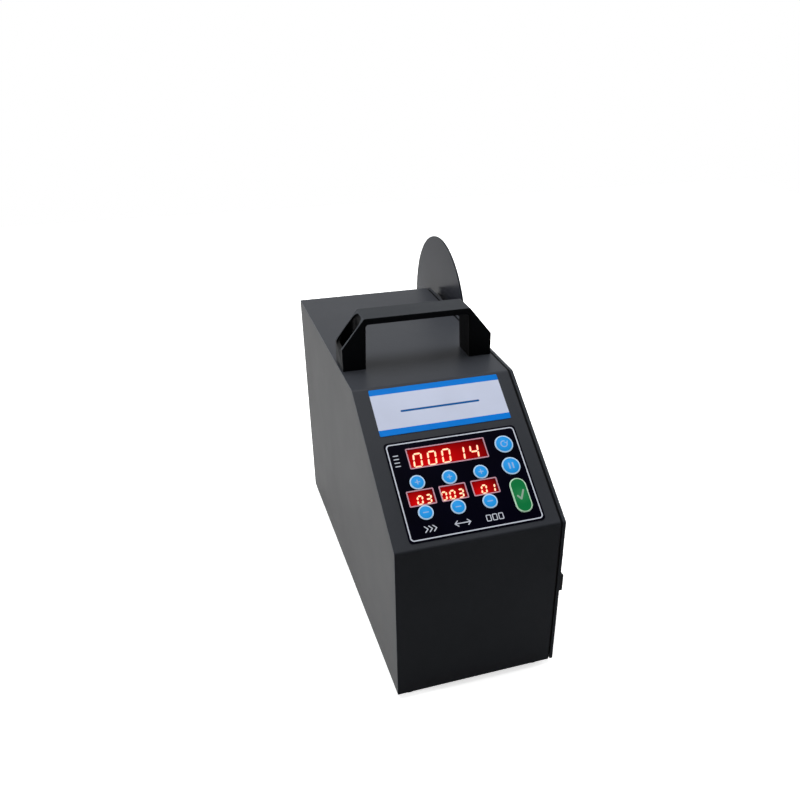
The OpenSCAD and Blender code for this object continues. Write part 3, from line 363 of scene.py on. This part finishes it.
PRINT_SOFT = 0.08                 # millimetres
WHITE_INK = (0.62, 0.66, 0.74)
BLUE_INK = (0.0, 0.20, 0.72)
BLACK_INK = (0.0008, 0.0006, 0.0045)
RULE_INK = (0.006, 0.10, 0.34)
WINDOW_LINE_INK = (0.62, 0.34, 0.42)
PAPER = (0.62, 0.67, 0.83)
KEY_BLUE, BLUE_KEY_RIM = (0.008, 0.30, 0.78), (0.50, 0.72, 0.95)
KEY_GREEN, GREEN_KEY_RIM = (0.003, 0.19, 0.05), (0.55, 0.80, 0.60)
WINDOW_DIM, WINDOW_LIT = (0.06, 0.0003, 0.001), (0.58, 0.002, 0.003)


class Print(Material):
    """A printed film on the slope: shapes are given in millimetres, across and down it."""

    def __init__(self, name, **constants):
        super().__init__(name, **constants)
        flat = self.node(
            "Mapping", {"vector_type": "TEXTURE"}, Vector=self.place(),
            Location=BEND_POINT, Rotation=(SLOPE, 0, 0), Scale=(MM, -MM, MM))
        self.u, self.v, self.w = self.axes(flat.outputs[0])

    def offset(self, at):
        return self.sub(self.u, at[0]), self.sub(self.v, at[1])

    def edge(self, distance):
        """1 where distance is below 0, with an edge about as sharp as print."""
        return self.ramp(distance, PRINT_SOFT, -PRINT_SOFT)

    def line(self, distance, width):
        """1 along the line where distance is 0."""
        return self.edge(self.sub(self.size_of(distance), width / 2))

    def box_distance(self, at, size, corner=0.0):
        """Millimetres outside a box with round corners, and below 0 inside it."""
        du, dv = self.offset(at)
        qu = self.sub(self.size_of(du), size[0] / 2 - corner)
        qv = self.sub(self.size_of(dv), size[1] / 2 - corner)
        outside = self.length(self.largest(qu, 0), self.largest(qv, 0))
        inside = self.math("MINIMUM", self.largest(qu, qv), 0)
        return self.sub(self.add(outside, inside), corner)

    def box(self, at, size, corner=0.0):
        return self.edge(self.box_distance(at, size, corner))

    def box_line(self, at, size, corner, width):
        return self.line(self.box_distance(at, size, corner), width)

    def radius(self, at):
        return self.length(*self.offset(at))

    def ring(self, at, r, width):
        return self.line(self.sub(self.radius(at), r), width)

    def bar(self, a, b, width):
        """A straight stroke with round ends."""
        (au, av), (bu, bv) = a, b
        length2 = (bu - au) ** 2 + (bv - av) ** 2
        du, dv = self.offset(a)
        along = self.add(self.mul(du, (bu - au) / length2), self.mul(dv, (bv - av) / length2))
        share = self.ramp(along, 0, 1)
        eu = self.sub(du, self.mul(share, bu - au))
        ev = self.sub(dv, self.mul(share, bv - av))
        return self.edge(self.sub(self.length(eu, ev), width / 2))

    def strokes(self, points, width):
        return self.largest(*[self.bar(a, b, width) for a, b in zip(points, points[1:])])


# The panel's layout in millimetres, across from the middle and down from the bend
COLUMN_PITCH = 28.9
COLUMNS = [-39.9 + COLUMN_PITCH * i for i in range(4)]
OVERLAY_AT = (0.8, 104.8)
FRAME_LINE_SIZE, FRAME_LINE_W = (118.2, 90.4), 1.1
COUNTER_AT, COUNTER_SIZE = (-6.3, 75.2), (72.4, 20)
WINDOW_V, WINDOW_SIZE = 112.6, (24.1, 14.8)
PLUS_V, MINUS_V = 98.2, 126.8
RESET_V, PAUSE_V, CONFIRM_V = 75.1, 97.2, 126.3
SMALL_R, LARGE_R = 6.7, 8.5
LONG_SIZE = (15.4, 33.2)
WINDOWS = [(COUNTER_AT, COUNTER_SIZE)] + [((c, WINDOW_V), WINDOW_SIZE) for c in COLUMNS[:3]]
NAMEPLATE_AT, NAMEPLATE_SIZE = (0.5, 26.2), (122.6, 47.6)
BAND_H = 6.0
RULE, RULE_W = ((-36, 27.4), (36.5, 27.4)), 2.1
CAPTION_V, STROKE_W = 141.7, 0.9
WINDOW_LINE_W = 1.1
KEY_RIM_W = 1.15
MARK_SHARE = 0.85                 # how strongly a key's mark covers its colour


def nameplate_film():
    m = Print("nameplate_film", Roughness=0.34, Specular_IOR_Level=0.04)
    half = NAMEPLATE_SIZE[1] / 2
    _, dv = m.offset(NAMEPLATE_AT)
    bands = m.edge(m.sub(half - BAND_H, m.size_of(dv)))
    colour = m.mix(bands, m.mottled(PAPER, 0.03, 25), m.mottled(BLUE_INK, 0.04, 60))
    m.set(Base_Color=m.mix(m.bar(*RULE, RULE_W), colour, RULE_INK))
    return m.bump(m.noise(500), 0.01 * MM, 0.3)


def caption_marks(m):
    """Plain pictograms where a panel of this kind has its captions."""
    v = CAPTION_V
    marks = []
    for x in (-4.6, -0.8, 3.0):                      # speed: three arrow heads
        u = COLUMNS[0] + x
        marks.append(m.strokes([(u, v - 2.6), (u + 2.6, v), (u, v + 2.6)], STROKE_W))
    u = COLUMNS[1]
    marks.append(m.bar((u - 7, v), (u + 7, v), STROKE_W))    # length: an arrow with two heads
    for s in (-1, 1):
        marks.append(m.strokes([(u + s * 4.4, v - 2.4), (u + s * 7, v), (u + s * 4.4, v + 2.4)], STROKE_W))
    for x in (-5.6, 0, 5.6):                         # rows: three labels
        marks.append(m.box_line((COLUMNS[2] + x, v), (3.8, 5.4), 0.6, 0.8))
    for z in (70.5, 73.9, 77.3, 80.7):               # count: four ticks
        marks.append(m.bar((-50.4, z), (-54.4, z), STROKE_W))
    return m.largest(*marks)


def window_line(m, at, size):
    return m.box_line(at, (size[0] - 0.9, size[1] - 0.9), 0.6, WINDOW_LINE_W)


def overlay_film():
    m = Print("overlay_film", Roughness=0.3, Specular_IOR_Level=0.01)
    white = m.largest(m.box_line(OVERLAY_AT, FRAME_LINE_SIZE, 3, FRAME_LINE_W), caption_marks(m))
    borders = m.largest(*[window_line(m, at, size) for at, size in WINDOWS])
    colour = m.mix(white, m.mottled(BLACK_INK, 0.2, 30), WHITE_INK)
    m.set(Base_Color=m.mix(borders, colour, WINDOW_LINE_INK))
    return m.bump(m.noise(420), 0.008 * MM, 0.3)


def button_film(name, at, r, colour, marks):
    """A printed key: a pale rim round the colour, with a pale mark in its middle.

    A key without a radius r is the long one."""
    m = Print(name, Roughness=0.3, Specular_IOR_Level=0.06)
    radius = m.radius(at)
    if r is None:
        distance = m.box_distance(at, LONG_SIZE, LONG_SIZE[0] / 2 - 0.01)
    else:
        distance = m.sub(radius, r)
    rim = m.edge(m.sub(-KEY_RIM_W, distance))
    centre = [min(1, c * 1.25 + 0.02) for c in colour]
    body = m.mix(m.ramp(radius, 0, 9), centre, colour)
    body = m.mix(m.mul(marks(m, *at), MARK_SHARE), body, [min(1, 0.36 + 0.64 * c) for c in colour])
    m.set(Base_Color=m.mix(rim, body, BLUE_KEY_RIM if colour == KEY_BLUE else GREEN_KEY_RIM))
    return m.bump(m.noise(500), 0.01 * MM, 0.3)


def plus_marks(m, u, v):
    return m.largest(
        m.bar((u - 1.9, v), (u + 1.9, v), STROKE_W),
        m.bar((u, v - 1.9), (u, v + 1.9), STROKE_W))


def minus_marks(m, u, v):
    return m.bar((u - 2.1, v), (u + 2.1, v), 1.0)


def pause_marks(m, u, v):
    return m.largest(*[m.bar((u + s, v - 2.3), (u + s, v + 2.3), 1.5) for s in (-1.7, 1.7)])


def reset_marks(m, u, v):
    """An open circle with an arrow head."""
    opening = m.box((u + 2.6, v - 2.2), (2.6, 2.6))
    tip_u, tip_v = u + 2.9, v - 0.4
    return m.largest(
        m.mul(m.ring((u, v), 2.9, 1.0), m.sub(1, opening)),
        m.strokes([(tip_u - 1.7, tip_v - 0.6), (tip_u, tip_v), (tip_u + 0.9, tip_v - 1.9)], STROKE_W))


def tick_marks(m, u, v):
    return m.strokes([(u - 3.2, v + 0.4), (u - 0.8, v + 3.6), (u + 3.3, v - 4.2)], 1.7)


def displays():
    """Red windows, each lit brightest round its own digits."""
    m = Print("number_displays", Roughness=0.35, Specular_IOR_Level=0)
    pools = []
    for (u, v), (w, h) in WINDOWS:
        du, dv = m.offset((u - 0.18 * w, v + 0.30 * h))
        reach = m.length(m.mul(du, 1.4 / w), m.mul(dv, 1.1 / h))
        pools.append(m.ramp(m.add(reach, m.mul(m.noise(120), 0.2)), 1.25, 0.15))
    light = m.mix(m.largest(*pools), WINDOW_DIM, WINDOW_LIT)
    unlit = m.mottled((0.05, 0.001, 0.001), 0.1, 80)
    return m.set(Base_Color=unlit, Emission_Color=light, Emission_Strength=1)


# ---- Mesh helpers ----


def new_object(name, build):
    """An object whose mesh is made by build(bm)."""
    mesh = bpy.data.meshes.new(name)
    bm = bmesh.new()
    build(bm)
    bmesh.ops.recalc_face_normals(bm, faces=bm.faces)
    bm.to_mesh(mesh)
    bm.free()
    piece = bpy.data.objects.new(name, mesh)
    bpy.context.scene.collection.objects.link(piece)
    return piece


def dress(piece, material):
    piece.data.materials.clear()
    piece.data.materials.append(material.data)


def bevel(piece, width, segments, angle):
    """Rounds the edges that are sharper than angle degrees."""
    modifier = piece.modifiers.new("rounded_edges", "BEVEL")
    modifier.width = width
    modifier.segments = segments
    modifier.limit_method = "ANGLE"
    modifier.angle_limit = math.radians(angle)
    modifier.harden_normals = True


def ease_edges(node, width):
    """Breaks the sharp edges of a CAD piece a little, as on the real one."""
    weld = node.modifiers.new("weld", "WELD")
    weld.merge_threshold = 0.001 * MM
    flatten = node.modifiers.new("flatten", "DECIMATE")
    flatten.decimate_type = "DISSOLVE"
    flatten.angle_limit = math.radians(0.5)
    bevel(node, width, 2, 40)


def prism(bm, outline, z0, z1, matrix):
    """An upright prism on a flat outline of (x, y) points."""
    low = [bm.verts.new(matrix @ Vector((x, y, z0))) for x, y in outline]
    high = [bm.verts.new(matrix @ Vector((x, y, z1))) for x, y in outline]
    count = len(outline)
    bm.faces.new(low[::-1])
    bm.faces.new(high)
    for i in range(count):
        bm.faces.new((low[i], low[(i + 1) % count], high[(i + 1) % count], high[i]))


def arc_points(corner, before, after, radius, steps=8):
    """Points that round one corner of an outline with a true arc."""
    a = (Vector(before) - Vector(corner)).normalized()
    b = (Vector(after) - Vector(corner)).normalized()
    half = math.acos(max(-1, min(1, a.dot(b)))) / 2
    centre = Vector(corner) + (a + b).normalized() * radius / math.sin(half)
    start = Vector(corner) + a * radius / math.tan(half) - centre
    end = Vector(corner) + b * radius / math.tan(half) - centre
    turn = math.atan2(start.x * end.y - start.y * end.x, start.dot(end))
    return [centre + Matrix.Rotation(turn * i / steps, 2) @ start for i in range(steps + 1)]


def rounded(points, radii):
    """A flat outline whose corners are rounded by their radii."""
    outline = []
    for i, (point, radius) in enumerate(zip(points, radii)):
        if radius:
            outline += arc_points(point, points[i - 1], points[(i + 1) % len(points)], radius)
        else:
            outline.append(Vector(point))
    return outline


# ---- Handle ----

HANDLE_L, HANDLE_D, HANDLE_H = 146.5 * MM, 28 * MM, 49 * MM
HANDLE_AT = Vector((0, -5 * MM, HOUSING_H + FOOT_H))
POST_W = 22 * MM
POST_DRAFT = 1.3 * MM                # how much wider each post is at its top
SHOULDER_H = 21.8 * MM
FINGER_H = 43.2 * MM
POCKET_WALL = 2.2 * MM
POCKET_FLOOR = 3 * MM
SLOT_DEPTH = 1.8 * MM                # of the long slot in each shoulder
SLOT_WALL = 2.6 * MM
SLOT_W = HANDLE_D - 2 * SLOT_WALL
SLOT_PAST = 3 * MM                   # how far the slot runs past the shoulder's lower end
SLOT_SHORT = 1.5 * MM                # and how far it stops short of the upper end
CUT = 12 * MM                        # how far a cutter runs past what it cuts
HANDLE_EDGE = 1.0 * MM
OUTER_R, SLOT_R, POCKET_R = 3 * MM, 7 * MM, 6 * MM
MASK_SOFT = 0.1 * MM                 # over which one shade of the handle turns into the next
HANDLE_BLACK = (0.0035, 0.004, 0.005)
# Painted highlight colour for the bar's top and the shoulders' rims
HANDLE_HIGHLIGHT = (0.030, 0.033, 0.038)
# Painted shade colour for the slots, the post pockets and the posts' inner faces
HANDLE_SHADE = (0.0006, 0.0006, 0.0008)

SHOULDER_LOW = Vector((HANDLE_L / 2, SHOULDER_H))
SHOULDER_TOP = Vector((HANDLE_L / 2 - POST_W, HANDLE_H))
SHOULDER_L = (SHOULDER_TOP - SHOULDER_LOW).length
SHOULDER_ALONG = (SHOULDER_TOP - SHOULDER_LOW) / SHOULDER_L
SHOULDER_OUT = Vector((SHOULDER_ALONG.y, -SHOULDER_ALONG.x))
SLOT_MIDDLE = (SHOULDER_L - SLOT_SHORT - SLOT_PAST) / 2
SLOT_L = SHOULDER_L - SLOT_SHORT + SLOT_PAST


def handle_moulding():
    """Black plastic, with a painted highlight on the bar's top and the shoulders' rims, and painted shade in
    the slots, the post pockets and between the posts.
    """
    m = Material("handle_plastic", Specular_IOR_Level=0.03, Sheen_Weight=0.04, Sheen_Roughness=0.35)

    def within(value, half):
        return m.ramp(m.size_of(value), half + MASK_SOFT, half)

    x, y, z = m.axes(m.place())
    x = m.size_of(x)
    y = m.sub(y, HANDLE_AT.y)
    z = m.sub(z, HANDLE_AT.z)
    dx, dz = m.sub(x, SHOULDER_LOW.x), m.sub(z, SHOULDER_LOW.y)
    along = m.add(m.mul(dx, SHOULDER_ALONG.x), m.mul(dz, SHOULDER_ALONG.y))
    out = m.add(m.mul(dx, SHOULDER_OUT.x), m.mul(dz, SHOULDER_OUT.y))
    below_face = m.ramp(out, -0.35 * MM, -0.45 * MM)
    above_floor = m.ramp(out, -SLOT_DEPTH - 0.6 * MM, -SLOT_DEPTH - 0.5 * MM)
    slot = m.mul(within(m.sub(along, SLOT_MIDDLE), SLOT_L / 2), within(y, SLOT_W / 2))
    in_slot = m.mul(slot, m.mul(below_face, above_floor))
    pocket = m.mul(
        within(m.sub(x, (HANDLE_L - POST_W) / 2), POST_W / 2 - POCKET_WALL + MASK_SOFT),
        within(y, HANDLE_D / 2 - POCKET_WALL + MASK_SOFT))
    in_pocket = m.mul(pocket, below_face)
    gap = HANDLE_L / 2 - POST_W
    inner = m.mul(m.ramp(x, gap + 0.5 * MM, gap + 0.2 * MM), m.ramp(z, FINGER_H + 0.3 * MM, FINGER_H))
    # Painted highlight: the bar's top and the shoulders' rims are painted lighter, for the light they catch
    top = m.ramp(z, HANDLE_H - 0.7 * MM, HANDLE_H - 0.2 * MM)
    rim = m.mul(m.ramp(out, -0.6 * MM, -0.2 * MM), m.ramp(z, SHOULDER_H - 1 * MM, SHOULDER_H))
    highlighted = m.mix(m.largest(top, rim), HANDLE_BLACK, HANDLE_HIGHLIGHT)
    # Painted shade: the insides of the slots and post pockets and the posts' inner faces are painted near
    # black
    shaded = m.largest(in_slot, in_pocket, inner)
    m.set(Base_Color=m.mix(shaded, highlighted, HANDLE_SHADE)).roughened(0.5, 0.12, 60)
    return m.bump(m.cells(2200, "SMOOTH_F1"), 0.015 * MM, 0.4)


def cut_out(piece, cutter):
    """Cuts one mesh object out of another and removes the cutter."""
    boolean = piece.modifiers.new("cut", "BOOLEAN")
    boolean.operation = "DIFFERENCE"
    boolean.solver = "EXACT"
    boolean.object = cutter
    bpy.context.view_layer.update()
    result = bpy.data.meshes.new_from_object(piece.evaluated_get(bpy.context.evaluated_depsgraph_get()))
    piece.modifiers.clear()
    piece.data = result
    bpy.data.objects.remove(cutter)


def cut_prism(piece, outline, low, high, matrix):
    cut_out(piece, new_object("cutter", lambda bm: prism(bm, outline, low, high, matrix)))


def box_outline(u, v, radius):
    """The outline of a box with half sides u and v and round corners."""
    return rounded([(-u, -v), (u, -v), (u, v), (-u, v)], [radius] * 4)


def make_handle(material):
    half = HANDLE_L / 2
    gap = half - POST_W
    low_gap = gap + 0.2 * MM
    high_gap = gap - POST_DRAFT
    r = OUTER_R
    outline = rounded(
        [(-half, 0), (-half, SHOULDER_H), (-gap, HANDLE_H), (gap, HANDLE_H), (half, SHOULDER_H), (half, 0),
         (low_gap, 0), (high_gap, FINGER_H), (-high_gap, FINGER_H), (-low_gap, 0)],
        [0, r, r, r, r, 0, 0, r, r, 0])
    upright = Matrix.Translation(HANDLE_AT) @ Matrix.Rotation(math.pi / 2, 4, "X")
    handle = new_object("bridge_handle", lambda bm: prism(bm, outline, -HANDLE_D / 2, HANDLE_D / 2, upright))
    pocket = box_outline(POST_W / 2 - POCKET_WALL, HANDLE_D / 2 - POCKET_WALL, POCKET_R)
    slot = box_outline(SLOT_L / 2, SLOT_W / 2, SLOT_R)
    middle = SHOULDER_LOW + SHOULDER_ALONG * SLOT_MIDDLE
    for side in (-1, 1):
        at = HANDLE_AT + Vector((side * (half - POST_W / 2), 0, 0))
        cut_prism(handle, pocket, POCKET_FLOOR, HANDLE_H + CUT, Matrix.Translation(at))
        place = Matrix.Translation(HANDLE_AT + Vector((side * middle.x, 0, middle.y)))
        turn = Matrix(((side * SHOULDER_ALONG.x, 0, side * SHOULDER_OUT.x), (0, 1, 0),
                       (SHOULDER_ALONG.y, 0, SHOULDER_OUT.y))).to_4x4()
        cut_prism(handle, slot, -SLOT_DEPTH, CUT, place @ turn)
    dress(handle, material)
    bevel(handle, HANDLE_EDGE, 3, 50)
    for face in handle.data.polygons:
        face.use_smooth = True
    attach(handle, "machine")
    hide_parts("handle")


# ---- Lit digits ----

SEGMENTS = {"0": "abcdef", "1": "bc", "3": "abcdg", "4": "bcfg"}
DIGIT_SLANT = math.tan(math.radians(7))
SEGMENT_GAP = 0.35                # millimetres


def segment_ends(w, h):
    """Both ends of each segment's centre line, in millimetres from the digit's middle."""
    x, y = w / 2, h / 2
    return {"a": ((-x, y), (x, y)), "b": ((x, y), (x, 0)), "c": ((x, 0), (x, -y)), "d": ((-x, -y), (x, -y)),
            "e": ((-x, 0), (-x, -y)), "f": ((-x, y), (-x, 0)), "g": ((-x, 0), (x, 0))}


def segment_outline(a, b, width, gap):
    """A bar with pointed ends, a little shorter than its centre line."""
    a, b = Vector(a), Vector(b)
    along = (b - a).normalized()
    side = Vector((-along.y, along.x)) * width / 2
    a, b = a + along * gap, b - along * gap
    point = along * width / 2
    return [a, a + point + side, b - point + side, b, b - point - side, a + point - side]


def add_digit(bm, digit, at, w, h, width, low, high):
    for name, (a, b) in segment_ends(w, h).items():
        if name in SEGMENTS[digit]:
            flat = segment_outline(a, b, width, SEGMENT_GAP)
            points = [((at[0] + p.x + p.y * DIGIT_SLANT) * MM, (p.y - at[1]) * MM) for p in flat]
            prism(bm, points, low * MM, high * MM, SLOPE_FRAME)


# In millimetres: the digits' places, pitch and size, and their strokes' width
COUNTER_DIGITS_AT, COUNTER_PITCH = (-34.1, 77.5), 13.05
COUNTER_DIGIT, COUNTER_STROKE = (6.7, 12.6), 1.25
SETTING_SHIFT, SETTING_DIGITS_V, SETTING_PITCH = 5.9, 114.9, 7.6
SETTING_DIGIT, SETTING_STROKE = (4.2, 7.6), 1.3


def all_digits(bm, grow, low, high):
    """The digits with strokes widened by grow, from low to high above the slope."""
    u, v = COUNTER_DIGITS_AT
    for i, digit in enumerate("00014"):
        add_digit(bm, digit, (u + COUNTER_PITCH * i, v), *COUNTER_DIGIT, COUNTER_STROKE + grow, low, high)
    for column, digits in zip(COLUMNS, ("03", "003", "01")):
        for i, digit in enumerate(reversed(digits)):
            at = (column + SETTING_SHIFT - SETTING_PITCH * i, SETTING_DIGITS_V)
            add_digit(bm, digit, at, *SETTING_DIGIT, SETTING_STROKE + grow * 0.8, low, high)


def glowing(name, inner, outer):
    m = Material(name, Roughness=0.4, Emission_Strength=1)
    light = m.mix(m.ramp(m.noise(260), 0.3, 0.7), inner, outer)
    return m.set(Base_Color=m.mottled((0.3, 0.05, 0.02), 0.1, 100), Emission_Color=light)


def make_digits():
    core = glowing("digit_light", (1.0, 0.80, 0.42), (1.0, 0.90, 0.62))
    halo = glowing("digit_halo", (0.95, 0.06, 0.012), (0.85, 0.035, 0.010))
    # Each layer's growth and its lower and upper face above the slope, in millimetres
    layers = [("digit_halo", halo, 0.9, 0.24, 0.28), ("digit_light", core, 0, 0.26, 0.34)]
    for name, material, grow, low, high in layers:
        digits = new_object(name, lambda bm: all_digits(bm, grow, low, high))
        dress(digits, material)
        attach(digits, "machine")


# ---- Finish of every CAD node ----

HOUSING_COLOUR = (0.037, 0.040, 0.047)
KEYS = {                          # each key's place, radius and mark
    "speed_up_button": ((COLUMNS[0], PLUS_V), SMALL_R, plus_marks),
    "length_up_button": ((COLUMNS[1], PLUS_V), SMALL_R, plus_marks),
    "rows_up_button": ((COLUMNS[2], PLUS_V), SMALL_R, plus_marks),
    "speed_down_button": ((COLUMNS[0], MINUS_V), SMALL_R, minus_marks),
    "length_down_button": ((COLUMNS[1], MINUS_V), SMALL_R, minus_marks),
    "rows_down_button": ((COLUMNS[2], MINUS_V), SMALL_R, minus_marks),
    "reset_button": ((COLUMNS[3], RESET_V), LARGE_R, reset_marks),
    "pause_button": ((COLUMNS[3], PAUSE_V), LARGE_R, pause_marks),
    "confirm_button": ((COLUMNS[3], CONFIRM_V), None, tick_marks),
}

HOUSING_FINISH = (HOUSING_COLOUR, 0.38, 0.05)
paint = powder_coat("housing_paint", *HOUSING_FINISH)
cover_paint = powder_coat("cover_paint", *HOUSING_FINISH, seam=True)
# Painted light: a lighter copy of the housing's black paint, standing in for part of the light that falls on
# the left side
left_lit_paint = powder_coat("left_panel_lit_paint", (0.057, 0.0575, 0.0585))
disc_paint = powder_coat("disc_paint", (0.013, 0.0142, 0.0185), 0.23, 0.08, grain=0.012 * MM)
black_oxide = moulded("black_oxide_steel", (0.030, 0.031, 0.034), 0.42, 0.5)
steel = turned_metal("turned_steel", (0.52, 0.53, 0.55))
zinc = turned_metal("zinc_plate", (0.50, 0.50, 0.47), 0.4, (300, 300, 3000))
ground_steel = turned_metal("ground_steel", (0.60, 0.60, 0.61), 0.36, (50, 700, 50))
aluminium = turned_metal("turned_aluminium", (0.66, 0.67, 0.69), 0.35)
bearing_steel = turned_metal("bearing_steel", (0.56, 0.57, 0.59), 0.18)
black_rubber = rubber("black_rubber", (0.018, 0.018, 0.019))
roller_rubber = rubber("roller_rubber", (0.030, 0.030, 0.032), 0.6)
amber_belt = rubber("amber_belt", (0.42, 0.15, 0.02), 0.5)
black_plastic = moulded("black_plastic", (0.024, 0.025, 0.028), 0.42)
sensor_plastic = moulded("sensor_plastic", (0.007, 0.007, 0.008), 0.5, 0.12)
handle_plastic = handle_moulding()

FINISHES = {
    "cover": cover_paint, "left_panel": left_lit_paint, "side_plate": paint, "base_plate": zinc,
    "tie_rods": steel, "button_head_screws": black_oxide, "feet": black_rubber, "handle": handle_plastic,
    "nameplate": nameplate_film(), "control_overlay": overlay_film(), "number_displays": displays(),
    "control_board": circuit_board("circuit_board"), "stepper_motor": black_oxide, "motor_shaft": steel,
    "motor_bracket": zinc, "motor_pulley": aluminium, "drive_belt": black_rubber, "drive_pulley": aluminium,
    "drive_shaft": steel, "drive_roller": roller_rubber, "bearing_housings": aluminium,
    "ball_bearings": bearing_steel, "takeup_belt": amber_belt, "takeup_pulley": aluminium,
    "takeup_spindle": steel, "takeup_disc": disc_paint, "takeup_clip": bearing_steel, "reel_spindle": steel,
    "reel_hub": black_plastic, "reel_disc": disc_paint, "brake_washer": felt("red_felt", (0.20, 0.03, 0.025)),
    "hub_retainer": steel, "stud_nuts": zinc, "guide_studs": steel, "upper_guide_roller": aluminium,
    "lower_guide_roller": aluminium, "pivot_studs": steel, "tension_arm": black_oxide,
    "tension_roller": aluminium, "tension_spring": bearing_steel, "pinch_lever": black_oxide,
    "pinch_grip": glossy_moulding("red_grip", (0.42, 0.010, 0.008)), "pinch_roller": roller_rubber,
    "pinch_spring": bearing_steel, "peel_plate": ground_steel, "sensor_bracket": black_oxide,
    "label_sensor": sensor_plastic, "sensor_knob": black_plastic, "power_supply": zinc,
    "power_inlet": black_plastic, "rocker_switch": glossy_moulding("red_rocker", (0.30, 0.008, 0.006)),
}
for key, (at, r, marks) in KEYS.items():
    colour = KEY_GREEN if key == "confirm_button" else KEY_BLUE
    FINISHES[key] = button_film(key + "_film", at, r, colour, marks)
for name, node in NODES.items():
    dress(node, FINISHES[name])

EASED = {                         # widths in millimetres
    "side_plate": 0.4, "left_panel": 0.3, "takeup_disc": 0.3, "tension_arm": 0.35, "pinch_lever": 0.35,
    "power_inlet": 0.3, "rocker_switch": 0.25, "peel_plate": 0.15, "sensor_bracket": 0.25,
    "label_sensor": 0.5, "reel_disc": 0.3, "drive_roller": 0.5, "pinch_roller": 0.4, "feet": 0.5,
}
for name, width in EASED.items():
    ease_edges(NODES[name], width * MM)

make_handle(handle_plastic)
make_digits()
